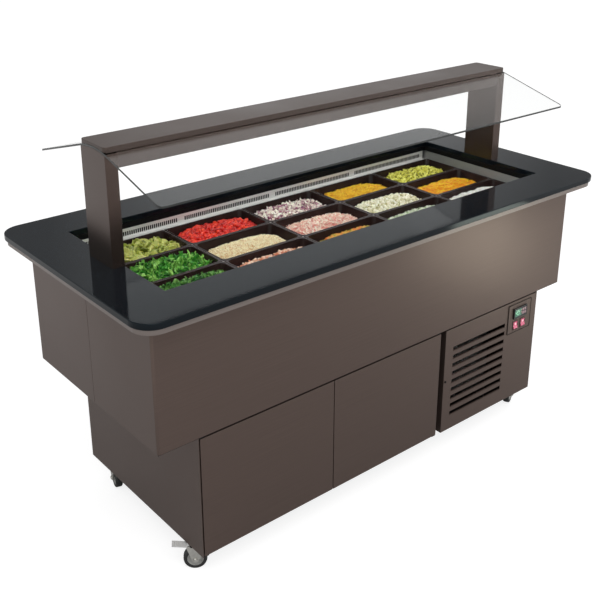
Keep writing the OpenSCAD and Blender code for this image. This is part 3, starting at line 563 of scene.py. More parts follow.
def ring_of(bm, profile, turn, steps=48, finish=0):
    """A closed ring turned about local Z from a closed outline of (radius, height) points."""
    rows = []
    for i in range(steps):
        a = i * TAU / steps
        points = [turn @ Vector((r * math.cos(a), r * math.sin(a), h)) for r, h in profile]
        rows.append([bm.verts.new(point) for point in points])
    count = len(profile)
    for i in range(steps):
        row, after = rows[i], rows[(i + 1) % steps]
        for k in range(count):
            face = bm.faces.new((row[k], after[k], after[(k + 1) % count], row[(k + 1) % count]))
            face.material_index = finish


def eased(bm, edges, offset, segments):
    """Rounds edges off, by less where the faces beside them are too small."""
    bmesh.ops.bevel(
        bm,
        geom=edges,
        offset=offset,
        segments=segments,
        profile=0.5,
        affect="EDGES",
        clamp_overlap=True,
    )


def rounded_box(bm, low, high, radius, steps=2, finish=0):
    """A box with all its edges rounded, given by its corners."""
    before = set(bm.faces)
    made = bmesh.ops.create_cube(bm, size=1.0)
    size = Vector(high) - Vector(low)
    middle = (Vector(high) + Vector(low)) / 2
    bmesh.ops.scale(bm, vec=size, verts=made["verts"])
    bmesh.ops.translate(bm, vec=middle, verts=made["verts"])
    eased(bm, list({edge for vert in made["verts"] for edge in vert.link_edges}), radius, steps)
    for face in set(bm.faces) - before:
        face.material_index = finish


def axis_turn(place, direction):
    """A matrix that puts local Z on a direction at a place."""
    turn = Vector(direction).to_track_quat("Z", "Y").to_matrix().to_4x4()
    return Matrix.Translation(Vector(place)) @ turn


# Food


def morsel_kernel(length, width, height, seed, rough=0.06):
    """A plump grain."""
    bm = bmesh.new()
    bmesh.ops.create_icosphere(bm, subdivisions=2, radius=0.5)
    for vert in bm.verts:
        wobble = 1 + rough * (noise.noise(vert.co * 3 + Vector((seed, 0, 0))) * 2)
        taper = 1 - 0.25 * vert.co.x
        x, y, z = vert.co.x * length, vert.co.y * width * taper, vert.co.z * height * taper
        vert.co = Vector((x, y, z)) * wobble
    return bm


def morsel_crumb(size, seed):
    """A small uneven crumb."""
    bm = bmesh.new()
    bmesh.ops.create_icosphere(bm, subdivisions=1, radius=size / 2)
    draw = random.Random(seed)
    for vert in bm.verts:
        vert.co *= draw.uniform(0.7, 1.15)
        vert.co.z *= 0.85
    return bm


def morsel_dice(size, seed):
    """A cut cube with slightly skewed faces."""
    bm = bmesh.new()
    bmesh.ops.create_cube(bm, size=size)
    draw = random.Random(seed)
    for vert in bm.verts:
        vert.co += Vector([draw.uniform(-0.12, 0.12) * size for _ in range(3)])
        vert.co.z *= 0.9
    eased(bm, bm.edges[:], size * 0.13, 1)
    return bm


def morsel_tube(points, radii, sides=6, flat=1.0):
    """A closed tube through points, with a radius at each of them."""
    bm = bmesh.new()
    rings = []
    for i, point in enumerate(points):
        point = Vector(point)
        ahead = Vector(points[min(i + 1, len(points) - 1)]) - Vector(points[max(i - 1, 0)])
        ahead.normalize()
        side = ahead.cross(Vector((0, 0, 1)))
        side = side.normalized() if side.length > 1e-6 else Vector((1, 0, 0))
        up = side.cross(ahead).normalized()
        rings.append(
            [
                point + (side * math.cos(a) + up * math.sin(a) * flat) * radii[i]
                for a in (k * TAU / sides for k in range(sides))
            ]
        )
    loft(bm, rings)
    return bm


def morsel_shred(length, width, seed, flat=0.5):
    """A thin curved strip, as a grater makes."""
    draw = random.Random(seed)
    bend = draw.uniform(0.15, 0.5)
    lift = draw.uniform(-0.2, 0.2)
    points = []
    for i in range(5):
        t = i / 4 - 0.5
        points.append((t * length, bend * length * (t * t - 0.1), lift * length * (t * t - 0.1)))
    radii = [width * share for share in (0.3, 0.5, 0.5, 0.5, 0.28)]
    return morsel_tube(points, radii, 4, flat)


def morsel_curl(radius, thickness, seed):
    """A curled shrimp: thick at one end, with a fanned tail."""
    draw = random.Random(seed)
    turn = draw.uniform(3.6, 4.6)
    points, radii = [], []
    for i in range(10):
        t = i / 9
        angle = t * turn
        rise = radius * 0.12 * math.sin(angle * 2)
        points.append((radius * math.cos(angle), radius * math.sin(angle), rise))
        ripple = 1 + 0.10 * math.cos(i * math.pi)
        thick = 0.55 + 0.5 * math.sin(min(1.0, t * 1.6) * math.pi / 2) - 0.72 * t**3
        radii.append(thickness * thick * ripple)
    radii[-1] = thickness * 0.5
    return morsel_tube(points, radii, 7)


def morsel_slice(radius, thickness, seed):
    """A round slice with a softly rounded rim, slightly dished."""
    bm = bmesh.new()
    draw = random.Random(seed)
    steps = 12
    wobble = [draw.uniform(0.93, 1.07) for _ in range(steps)]
    tilt = draw.uniform(0.05, 0.25)
    rings = []
    for share, height in ((0.55, -0.5), (0.92, -0.42), (1.0, 0.0), (0.92, 0.42), (0.55, 0.5)):
        ring = []
        for i in range(steps):
            a = i * TAU / steps
            r = radius * share * wobble[i]
            dish = tilt * r * r * math.cos(2 * a) / radius
            ring.append((r * math.cos(a), r * math.sin(a), height * thickness + dish))
        rings.append(ring)
    loft(bm, rings)
    return bm


def morsel_leaf(length, width, ruffle, seed, notch=0.2):
    """A ruffled leaf with a notched edge, modelled with both of its faces."""
    bm = bmesh.new()
    draw = random.Random(seed)
    rows, across = 9, 5
    curl = draw.uniform(0.2, 0.7)
    phase = draw.uniform(0, TAU)
    sides = []
    for lift in (0.00035, -0.00035):
        grid = []
        for i in range(rows):
            t = i / (rows - 1)
            half = width / 2 * (math.sin(math.pi * min(1.0, 0.08 + 0.92 * t) ** 0.8) + 0.12)
            half *= 1 - notch * (i % 2)
            row = []
            for k in range(across):
                s = k / (across - 1) * 2 - 1
                wave = ruffle * abs(s) * math.sin(t * 11 + phase + s * 2)
                fold = 0.35 * width * (abs(s) ** 1.5) * curl
                arch = -length * curl * 0.35 * (t - 0.4) ** 2
                height = wave + fold + arch + lift
                row.append(bm.verts.new((t * length - length / 2, s * half, height)))
            grid.append(row)
        sides.append(grid)
    top, bottom = sides
    for i in range(rows - 1):
        for k in range(across - 1):
            bm.faces.new((top[i][k], top[i + 1][k], top[i + 1][k + 1], top[i][k + 1]))
            bm.faces.new((bottom[i][k], bottom[i][k + 1], bottom[i + 1][k + 1], bottom[i + 1][k]))
    for i in range(rows - 1):
        bm.faces.new((top[i][0], bottom[i][0], bottom[i + 1][0], top[i + 1][0]))
        bm.faces.new((top[i][-1], top[i + 1][-1], bottom[i + 1][-1], bottom[i][-1]))
    for k in range(across - 1):
        bm.faces.new((top[0][k], top[0][k + 1], bottom[0][k + 1], bottom[0][k]))
        bm.faces.new((top[-1][k], bottom[-1][k], bottom[-1][k + 1], top[-1][k + 1]))
    return bm


def scatter_tree():
    """Spreads morsels over the top of a bed of food and keeps the bed below them."""
    tree = bpy.data.node_groups.new("spread_morsels", "GeometryNodeTree")
    sockets = (
        ("Bed", "INPUT", "NodeSocketGeometry", None),
        ("Morsels", "INPUT", "NodeSocketCollection", None),
        ("Spacing", "INPUT", "NodeSocketFloat", 0.008),
        ("Smallest", "INPUT", "NodeSocketFloat", 0.8),
        ("Largest", "INPUT", "NodeSocketFloat", 1.2),
        ("Tilt", "INPUT", "NodeSocketFloat", 3.14),
        ("Turn", "INPUT", "NodeSocketFloat", 3.14),
        ("Heap", "INPUT", "NodeSocketFloat", 0.003),
        ("Seed", "INPUT", "NodeSocketInt", 1),
        ("Finish", "INPUT", "NodeSocketMaterial", None),
        ("Food", "OUTPUT", "NodeSocketGeometry", None),
    )
    for name, way, kind, value in sockets:
        made = tree.interface.new_socket(name, in_out=way, socket_type=kind)
        if value is not None:
            made.default_value = value
    source = tree.nodes.new("NodeGroupInput").outputs

    def drawn(kind, low=None, high=None):
        """A value drawn for each point with the pan's seed, from 0 to 1 if not said otherwise."""
        index = ("FLOAT_VECTOR", "FLOAT", "INT").index(kind)
        inputs = {"Seed": source["Seed"]}
        if high is not None:
            inputs |= {2 * index: low, 2 * index + 1: high}
        return add_node(tree, "FunctionNodeRandomValue", inputs, data_type=kind).outputs[index]

    def vector(**parts):
        return add_node(tree, "ShaderNodeCombineXYZ", parts).outputs[0]

    normal = add_node(tree, "GeometryNodeInputNormal").outputs[0]
    up = add_node(tree, "ShaderNodeSeparateXYZ", {0: normal}).outputs["Z"]
    level = add_node(tree, "FunctionNodeCompare", {0: up, 1: 0.6}, operation="GREATER_THAN")
    spread = add_node(
        tree,
        "GeometryNodeDistributePointsOnFaces",
        {
            "Mesh": source["Bed"],
            "Selection": level.outputs[0],
            "Distance Min": source["Spacing"],
            "Density Max": 400000.0,
            "Seed": source["Seed"],
        },
        distribute_method="POISSON",
    )
    lift = drawn("FLOAT_VECTOR", (0, 0, 0), vector(Z=source["Heap"]))
    points = {"Geometry": spread.outputs["Points"], "Offset": lift}
    raised = add_node(tree, "GeometryNodeSetPosition", points)
    back = maths(tree, "MULTIPLY", source["Tilt"], -1.0)
    around = maths(tree, "MULTIPLY", source["Turn"], -1.0)
    least = vector(X=back, Y=back, Z=around)
    most = vector(X=source["Tilt"], Y=source["Tilt"], Z=source["Turn"])
    kinds = add_node(
        tree,
        "GeometryNodeCollectionInfo",
        {"Collection": source["Morsels"], "Separate Children": True, "Reset Children": True},
    )
    placed = add_node(
        tree,
        "GeometryNodeInstanceOnPoints",
        {
            "Points": raised.outputs["Geometry"],
            "Instance": kinds.outputs[0],
            "Pick Instance": True,
            "Instance Index": drawn("INT", 0, 99),
            "Rotation": drawn("FLOAT_VECTOR", least, most),
            "Scale": drawn("FLOAT", source["Smallest"], source["Largest"]),
        },
    )
    stored = add_node(
        tree,
        "GeometryNodeStoreNamedAttribute",
        {"Geometry": placed.outputs["Instances"], "Name": "tone", "Value": drawn("FLOAT")},
        data_type="FLOAT",
        domain="INSTANCE",
    )
    joined = add_node(tree, "GeometryNodeJoinGeometry")
    tree.links.new(source["Bed"], joined.inputs[0])
    tree.links.new(stored.outputs[0], joined.inputs[0])
    whole = add_node(tree, "GeometryNodeRealizeInstances", {"Geometry": joined.outputs[0]})
    dressed = {"Geometry": whole.outputs[0], "Material": source["Finish"]}
    finish = add_node(tree, "GeometryNodeSetMaterial", dressed)
    out = tree.nodes.new("NodeGroupOutput")
    tree.links.new(finish.outputs[0], out.inputs[0])
    return tree


def applied(piece, tree, values):
    """Runs a Geometry Nodes tree on a piece once and keeps the result as its plain mesh."""
    modifier = piece.modifiers.new(tree.name, "NODES")
    modifier.node_group = tree
    for item in tree.interface.items_tree:
        if item.item_type == "SOCKET" and item.in_out == "INPUT" and item.name in values:
            modifier[item.identifier] = values[item.name]
    bpy.context.view_layer.update()
    graph = bpy.context.evaluated_depsgraph_get()
    mesh = bpy.data.meshes.new_from_object(piece.evaluated_get(graph), depsgraph=graph)
    piece.modifiers.clear()
    piece.data = mesh


def food_bed(name, centre, length, width, crown, fall, lumps, seed):
    """A closed bed of food: crowned, lumpy on top and falling away at the walls."""
    bm = bmesh.new()
    columns, rows, corner = 34, 18, 0.024
    base = PAN_FLOOR + 0.004
    rim, grid = [], []
    for i in range(columns + 1):
        line = []
        for k in range(rows + 1):
            u, v = i / columns * 2 - 1, k / rows * 2 - 1
            x, y = u * length / 2, v * width / 2
            dx, dy = abs(x) - (length / 2 - corner), abs(y) - (width / 2 - corner)
            if dx > 0 and dy > 0:
                share = max(dx, dy) / math.hypot(dx, dy)
                x = math.copysign(length / 2 - corner + dx * share, x)
                y = math.copysign(width / 2 - corner + dy * share, y)
            edge = max(abs(u), abs(v))
            height = crown - fall * (0.82 * abs(v) ** 2.3 + 0.95 * abs(u) ** 3.3)
            height += lumps * noise.noise(Vector((x * 38, y * 38, seed * 3.7)))
            height += lumps * 0.5 * noise.noise(Vector((x * 95, y * 95, seed * 1.3)))
            height -= 0.008 * max(0.0, (edge - 0.88) / 0.12)
            line.append(bm.verts.new((centre[0] + x, centre[1] + y, height)))
        grid.append(line)
    for i in range(columns):
        for k in range(rows):
            bm.faces.new((grid[i][k], grid[i + 1][k], grid[i + 1][k + 1], grid[i][k + 1]))
    rim += [grid[i][0] for i in range(columns)]
    rim += [grid[columns][k] for k in range(rows)]
    rim += [grid[i][rows] for i in range(columns, 0, -1)]
    rim += [grid[0][k] for k in range(rows, 0, -1)]
    feet = [bm.verts.new((vert.co.x, vert.co.y, base)) for vert in rim]
    count = len(rim)
    for i in range(count):
        bm.faces.new((rim[(i + 1) % count], rim[i], feet[i], feet[(i + 1) % count]))
    bm.faces.new(list(reversed(feet)))
    return object_of(name, bm, [])


def centre_of(node):
    low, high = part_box(node)
    return (low + high) / 2


def morsel_set(name, shapes):
    """A hidden collection with a few shapes of a morsel to draw from."""
    group = bpy.data.collections.new(name)
    for index, bm in enumerate(shapes):
        mesh = bpy.data.meshes.new(f"{name}_{index}")
        bmesh.ops.recalc_face_normals(bm, faces=bm.faces)
        bm.to_mesh(mesh)
        bm.free()
        mesh.polygons.foreach_set("use_smooth", [True] * len(mesh.polygons))
        group.objects.link(bpy.data.objects.new(f"{name}_{index}", mesh))
    return group


def held(mesh, centre, values):
    """Keeps every point of the food inside the walls of its pan, pressed together beside them."""
    points = np.empty(len(mesh.vertices) * 3)
    mesh.vertices.foreach_get("co", points)
    points = points.reshape(-1, 3)
    levels = PAN_FLOOR + np.array((values.wall, 0.005, 0.012, PAN_TOP - PAN_FLOOR - 0.0015))
    rounding = np.array((0.010, 0.003, 0.0, 0.0))
    insets = values.rim + 0.0004 + values.draft * np.array((1, 1, 1, 0)) + rounding
    half = np.array((PAN_LENGTH, PAN_WIDTH)) / 2 - np.interp(points[:, 2], levels, insets)[:, None]
    middle = np.array((centre.x, centre.y))
    away = points[:, :2] - middle
    margin = 0.004
    beyond = np.maximum(np.abs(away) - (half - margin), 0.0)
    inside = np.minimum(np.abs(away), half - margin) + margin * (1 - np.exp(-beyond / margin))
    radius = values.corner + INNER_CORNER
    over = np.maximum(inside - (half - radius), 0.0)
    reach = np.maximum(np.hypot(over[:, 0], over[:, 1]) / radius, 1.0)
    inside -= over * (1 - 1 / reach)[:, None]
    points[:, :2] = middle + np.sign(away) * inside
    mesh.vertices.foreach_set("co", points.ravel())
    mesh.update()


def clear_set(group):
    for item in list(group.objects):
        mesh = item.data
        bpy.data.objects.remove(item)
        bpy.data.meshes.remove(mesh)
    bpy.data.collections.remove(group)


def food(
    node, shapes, tones, spacing, sizes=(0.85, 1.2), tilt=3.14, heap=0.003, lumps=0.003, **finish
):
    """The food of one pan: a bed, and morsels spread over it.

    A tone is its place from 0 to 1 and its red, green and blue in display steps.
    """
    values = settings("pans")
    seed = values.seed + sum(ord(letter) for letter in node)
    centre = centre_of(node)
    length = PAN_LENGTH - 2 * values.rim - 0.001
    width = PAN_WIDTH - 2 * values.rim - 0.001
    crown = PAN_TOP - values.crown
    piece = food_bed(node + "_food", centre, length, width, crown, values.fall, lumps, seed % 17)
    group = morsel_set(node + "_morsels", shapes)
    stops = [(place, linear(*colour)) for place, *colour in tones]
    inputs = {
        "Morsels": group,
        "Spacing": spacing,
        "Smallest": sizes[0],
        "Largest": sizes[1],
        "Tilt": tilt,
        "Heap": heap,
        "Seed": seed,
        "Finish": food_finish(node + "_finish", stops, **finish),
    }
    applied(piece, TREES["scatter"], inputs)
    clear_set(group)
    held(piece.data, centre, values)
    piece.data.name = piece.name
    shade(piece.data, 50.0)
    settle(piece, node)


def several(make, *sizes, count=4, **more):
    """A few shapes of one morsel, each from a seed of its own."""
    return [make(*sizes, seed, **more) for seed in range(count)]


TREES = {}


class SALADBAR_OT_food(bpy.types.Operator):
    """Fill the fifteen pans with food"""

    bl_idname = "salad_bar.food"
    bl_label = "Food"

    def execute(self, context):
        TREES["scatter"] = scatter_tree()
        kernel, dice, shred, leaf = morsel_kernel, morsel_dice, morsel_shred, morsel_leaf
        grated = dict(tilt=0.3, heap=0.0015, lumps=0.007)
        food(
            "pan_1_back",
            several(morsel_slice, 0.014, 0.006) + several(kernel, 0.022, 0.012, 0.009, rough=0.1),
            ((0.0, 110, 122, 30), (0.5, 160, 170, 62), (1.0, 206, 208, 120)),
            0.0118, tilt=1.2, heap=0.012, lumps=0.008, soft=0.2, wet=0.3,
        )
        food(
            "pan_1_middle",
            several(leaf, 0.044, 0.011, 0.005) + several(shred, 0.034, 0.005, count=2),
            ((0.0, 20, 80, 18), (0.5, 60, 150, 42), (1.0, 158, 214, 104)),
            0.0098, sizes=(0.6, 1.2), tilt=1.3, heap=0.015, lumps=0.010, mottle=0.6,
        )
        food(
            "pan_1_front",
            several(leaf, 0.036, 0.018, 0.004),
            ((0.0, 14, 50, 16), (0.6, 44, 111, 38), (1.0, 129, 181, 92)),
            0.0088, sizes=(0.6, 1.1), tilt=1.0, heap=0.009, lumps=0.006, mottle=0.6,
        )
        food(
            "pan_2_back",
            several(dice, 0.0095),
            ((0.0, 170, 10, 6), (0.6, 226, 26, 12), (1.0, 244, 70, 34)),
            0.0078, heap=0.008, lumps=0.007, wet=0.25, roughness=0.35,
        )
        food(
            "pan_2_middle",
            several(morsel_crumb, 0.0052),
            ((0.0, 213, 175, 124), (0.25, 243, 227, 180), (1.0, 255, 249, 217)),
            0.0038, heap=0.003, lumps=0.004, roughness=0.6,
        )
        food(
            "pan_2_front",
            several(morsel_curl, 0.0058, 0.0036) + several(kernel, 0.009, 0.007, 0.006),
            ((0.0, 206, 112, 74), (0.4, 236, 172, 136), (1.0, 250, 226, 204)),
            0.0082, tilt=0.9, heap=0.007, lumps=0.005, wet=0.3, soft=0.2,
        )
        food(
            "pan_3_back",
            several(dice, 0.0080) + several(shred, 0.015, 0.005),
            ((0.0, 120, 51, 84), (0.22, 187, 131, 150), (0.5, 236, 220, 208), (1.0, 255, 255, 238)),
            0.0074, heap=0.007, lumps=0.008, soft=0.1, roughness=0.35, mottle=0.3,
        )
        food(
            "pan_3_middle",
            several(shred, 0.014, 0.0034),
            ((0.0, 226, 139, 128), (0.45, 251, 203, 183), (1.0, 255, 255, 236)),
            0.0046, tilt=0.6, heap=0.004, lumps=0.004, soft=0.1,
        )
        food(
            "pan_3_front",
            several(kernel, 0.009, 0.007, 0.006) + several(dice, 0.008),
            ((0.0, 106, 132, 34), (0.2, 206, 178, 60), (0.5, 232, 182, 84), (1.0, 232, 112, 42)),
            0.0072, heap=0.005, lumps=0.005, wet=0.2,
        )
        food(
            "pan_4_back",
            several(shred, 0.011, 0.0030),
            ((0.0, 216, 149, 12), (0.5, 255, 198, 30), (1.0, 255, 230, 63)),
            0.0040, roughness=0.5, **grated,
        )
        food(
            "pan_4_middle",
            several(kernel, 0.0125, 0.009, 0.0075, rough=0.12),
            ((0.0, 187, 181, 129), (0.4, 236, 232, 199), (1.0, 255, 253, 236)),
            0.0086, heap=0.006, lumps=0.006, soft=0.1,
        )
        food(
            "pan_4_front",
            several(kernel, 0.0115, 0.009, 0.008, rough=0.12) + [leaf(0.018, 0.009, 0.002, 5)],
            ((0.0, 96, 140, 66), (0.3, 196, 212, 168), (1.0, 242, 244, 232)),
            0.0082, heap=0.005, lumps=0.005,
        )
        food(
            "pan_5_back",
            several(kernel, 0.017, 0.0066, 0.006, rough=0.1),
            ((0.0, 137, 137, 27), (0.4, 219, 214, 72), (1.0, 255, 255, 140)),
            0.0078, tilt=1.0, heap=0.009, lumps=0.006,
        )
        food(
            "pan_5_middle",
            several(shred, 0.011, 0.0030),
            ((0.0, 235, 125, 5), (0.5, 255, 185, 15), (1.0, 255, 229, 44)),
            0.0040, roughness=0.45, wet=0.15, **grated,
        )
        food(
            "pan_5_front",
            several(dice, 0.012),
            ((0.0, 206, 204, 190), (0.5, 236, 236, 228), (1.0, 250, 250, 246)),
            0.0098, heap=0.006, lumps=0.005, soft=0.15,
        )
        return {"FINISHED"}


class SALADBAR_OT_pans(bpy.types.Operator):
    """Make the fifteen moulded pans"""

    bl_idname = "salad_bar.pans"
    bl_label = "Pans"

    def execute(self, context):
        values = settings("pans")
        edge = 0.0008
        under = PAN_TOP - 0.002
        outer = values.rim - values.wall
        inner = values.rim
        draft = values.draft
        # Each step of the profile: inset from the rim's edge, height
        profile = (
            (outer + draft + 0.006, PAN_FLOOR),
            (outer + draft + 0.0015, PAN_FLOOR + 0.0015),
            (outer + draft, PAN_FLOOR + 0.006),
            (outer, under),
            (edge, under),
            (0.0, under + edge * 0.6),
            (0.0, PAN_TOP - edge),
            (edge * 0.35, PAN_TOP - edge * 0.3),
            (edge, PAN_TOP),
            (inner - edge * 1.6, PAN_TOP),
            (inner - edge * 0.5, PAN_TOP - edge * 0.5),
            (inner, PAN_TOP - edge * 1.8),
            (inner + draft, PAN_FLOOR + 0.012),
            (inner + draft + 0.003, PAN_FLOOR + 0.005),
            (inner + draft + 0.010, PAN_FLOOR + values.wall),
        )
        for column in range(1, COLUMNS + 1):
            for row in ROWS:
                node = f"pan_{column}_{row}"
                centre = centre_of(node)
                bm = bmesh.new()
                rings = []
                for inset, height in profile:
                    radius = values.corner + INNER_CORNER
                    if inset < outer * 0.9:
                        radius = max(values.corner - inset, 0.003)
                    sides = (PAN_LENGTH - 2 * inset, PAN_WIDTH - 2 * inset)
                    rings.append(loop(*sides, radius, height, 6, (centre.x, centre.y)))
                loft(bm, rings)
                put(node + "_shell", bm, "pan", 40.0, node, [node])
        return {"FINISHED"}


class SALADBAR_OT_worktop(bpy.types.Operator):
    """Finish the stone worktop, its rim and the dark ring of the opening"""

    bl_idname = "salad_bar.worktop"
    bl_label = "Worktop"

    def execute(self, context):
        edges = settings("edges")
        dress("worktop", "stone", edges.stone, 3)
        dress("worktop_rim", "rim", edges.fine)
        dress("opening_frame", "breaker", 0.001)
        return {"FINISHED"}


class SALADBAR_OT_well(bpy.types.Operator):
    """Finish the cold well and its cooling parts"""

    bl_idname = "salad_bar.well"
    bl_label = "Cold well"

    def execute(self, context):
        # The tub's stainless is darkened as painted shade.
        dress("tub_liner", "tub", 0.0)
        dress("air_grilles", "steel", 0.0)
        dress("pan_rest_bars", "steel", 0.0)
        dress("insulation", "foam", 0.0)
        dress("evaporator_coil", "fins", 0.0)
        dress("drain_spout", "plastic", 0.0)
        dress("evaporator_fan", "pale", 0.0)
        self.duct_meshes()
        self.slot_trims()
        return {"FINISHED"}

    def duct_meshes(self):
        """Black strips behind the slots of the air strips: filters that close the ducts, and
        painted shade for the dark inside them.
        """
        low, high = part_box("air_grilles")
        bm = bmesh.new()
        for side in (-1, 1):
            near = side * (high.y + 0.0006)
            far = near + side * 0.003
            start, end = sorted((near, far))
            first = (low.x + 0.012, start, high.z - 0.027)
            rounded_box(bm, first, (high.x - 0.012, end, high.z - 0.008), 0.0008)
        put("duct_filters", bm, "breaker", 40.0, "cabinet")

    def slot_trims(self):
        """Black insets in the slots of the air strips, in four groups on each side: painted shade
        that darkens the slots.
        """
        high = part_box("air_grilles")[1]
        groups, slots, pitch, stretch = 4, 47, 0.008, 0.404
        half, lip, proud, sheet, depth = 0.0027, 0.0004, 0.0004, 0.0015, 0.0014
        bottom, top = high.z - 0.0252, high.z - 0.0104
        bm = bmesh.new()
        for side in (-1, 1):
            wall = side * (high.y - sheet)
            steps = ((wall + side * depth, 0.0), (wall, 0.0), (wall - side * proud, lip))
            for group in range(groups):
                for slot in range(slots):
                    x = (group - (groups - 1) / 2) * stretch + (slot - (slots - 1) / 2) * pitch
                    rings = [
                        [
                            (x - half + inset, y, bottom + inset),
                            (x + half - inset, y, bottom + inset),
                            (x + half - inset, y, top - inset),
                            (x - half + inset, y, top - inset),
                        ]
                        for y, inset in steps
                    ]
                    loft(bm, rings)
        put("slot_trims", bm, "breaker", 40.0, "cabinet")


class SALADBAR_OT_body(bpy.types.Operator):
    """Finish the folded upper body"""

    bl_idname = "salad_bar.body"
    bl_label = "Upper body"

    def execute(self, context):
        edges = settings("edges")
        for node in ("front_wrap", "rear_wrap"):
            dress(node, "bronze", edges.sheet * 0.5)
        dress("undertray", "dark_metal", 0.0)
        return {"FINISHED"}


class SALADBAR_OT_guard(bpy.types.Operator):
    """Finish the posts, the beam, the cap and the bent glass"""

    bl_idname = "salad_bar.guard"
    bl_label = "Sneeze guard"

    def execute(self, context):
        edges = settings("edges")
        for node in ("left_post", "right_post"):
            dress(node, "post", edges.sheet)
        for node in ("guard_beam", "beam_cap"):
            dress(node, "cap", edges.sheet)
        self.glass(edges.glass)
        return {"FINISHED"}

    def glass(self, edge):
        """The bent sheet with tight corners and its ground edge in a finish of its own."""
        low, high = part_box("sneeze_glass")
        half_length, half_depth = (high.x - low.x) / 2, (high.y - low.y) / 2
        thick, bend, slope, corner = 0.006, 0.300, math.radians(16), 0.018
        arris, face_up = math.radians(60), 0.9
        stations = [half_depth - corner * (1 - math.sin(k / 8 * TAU / 4)) for k in range(9)]
        stations += [bend * math.sin(slope * k / 10) for k in range(11)]
        stations = sorted({round(sign * value, 6) for value in stations for sign in (-1, 1)})
        bm = bmesh.new()
        rings = []
        for y in stations:
            angle = min(slope, math.asin(min(1.0, abs(y) / bend)))
            fall = (abs(y) - bend * math.sin(angle)) * math.tan(angle)
            top = high.z - bend * (1 - math.cos(angle)) - fall
            under = top - thick / math.cos(angle)
            turned = max(0.0, abs(y) - (half_depth - corner)) / corner
            half = half_length - corner * (1 - math.sqrt(max(0.0, 1 - turned**2)))
            rings.append([(-half, y, under), (half, y, under), (half, y, top), (-half, y, top)])
        loft(bm, rings)
        bmesh.ops.recalc_face_normals(bm, faces=bm.faces)
        bm.normal_update()
        sharp = [e for e in bm.edges if e.calc_face_angle() > arris]
        made = bmesh.ops.bevel(bm, geom=sharp, offset=edge, segments=2, profile=0.5, affect="EDGES")
        for face in bm.faces:
            face.material_index = 0 if abs(face.normal.z) > face_up else 1
        for face in made["faces"]:
            face.material_index = 1
        finishes = [finish_named("glass"), finish_named("glass_edge")]
        piece = object_of("bent_glass", bm, finishes, 12.0, False)
        settle(piece, "cabinet", ["sneeze_glass"])


class SALADBAR_OT_base(bpy.types.Operator):
    """Finish the base cabinet, its doors and its machine panel"""

    bl_idname = "salad_bar.base"
    bl_label = "Base cabinet"

    def execute(self, context):
        edges = settings("edges")
        dress("base_frame", "dark_metal", 0.0)
        for node in ("left_side_panel", "right_side_panel", "back_panel"):
            dress(node, "bronze", edges.fine)
        for node in ("left_door", "centre_door"):
            dress(node, "bronze", edges.sheet * 0.5)
            self.door_lining(node)
        dress("machine_panel", "bronze", 0.0)
        self.louvre_lips()
        dress("screws", "screw", 0.0)
        dress("cable_inlet", "plastic", 0.0005)
        return {"FINISHED"}

    def louvre_lips(self):
        """Folded lips at the lower edges of the nine slots, rising inwards."""
        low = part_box("machine_panel")[0]
        slots, lowest, pitch, ends = 9, 0.1537, 0.03375, (0.3132, 0.6048)
        front, sheet, reach, rise = low.y + 0.0006, 0.0010, 0.0038, 0.0012
        bm = bmesh.new()
        for slot in range(slots):
            bottom = lowest + pitch * slot
            back, top = front + reach, bottom + rise
            edge = ((front, bottom), (back, top), (back, top - sheet), (front, bottom - sheet))
            loft(bm, [[(x, y, z) for y, z in edge] for x in ends])
        put("louvre_lips", bm, "bronze", 30.0, "cabinet")

    def door_lining(self, node):
        """The inner sheet of a door with its raised panel, and the gasket round it."""
        low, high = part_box(node)
        middle = (low + high) / 2
        pins = 0.0042
        width = high.x - low.x - 0.006
        height = high.z - low.z - 2 * pins - 0.004
        turn = Matrix.Translation((middle.x, 0, middle.z)) @ Matrix.Rotation(math.pi / 2, 4, "X")
        back = -high.y
        bm = bmesh.new()
        rings = [
            loop(width, height, 0.002, back + 0.0150, 3),
            loop(width, height, 0.002, back + 0.0012, 3),
            loop(width - 0.002, height - 0.002, 0.002, back + 0.0002, 3),
            loop(width - 0.070, height - 0.070, 0.012, back + 0.0002, 3),
            loop(width - 0.084, height - 0.084, 0.010, back + 0.0060, 3),
            loop(width - 0.130, height - 0.130, 0.010, back + 0.0060, 3),
            loop(width - 0.142, height - 0.142, 0.008, back + 0.0018, 3),
        ]
        loft(bm, rings, turn)
        put(node + "_liner", bm, "liner", 35.0, node)
        bm = bmesh.new()
        wide, tall, size = width - 0.024, height - 0.024, 0.012
        # Each step across the gasket: share of its width, rise
        outline = ((0.0, 0.0), (0.0, -0.0024), (0.15, -0.0034))
        outline += ((0.85, -0.0034), (1.0, -0.0024), (1.0, 0.0))
        rings = []
        for share, rise in outline:
            inset = size * share
            sides = (wide - 2 * inset, tall - 2 * inset)
            rings.append(loop(*sides, 0.012 - inset * 0.5, back + rise, 4))
        hoop(bm, rings, turn)
        put(node + "_gasket", bm, "gasket", 40.0, node)


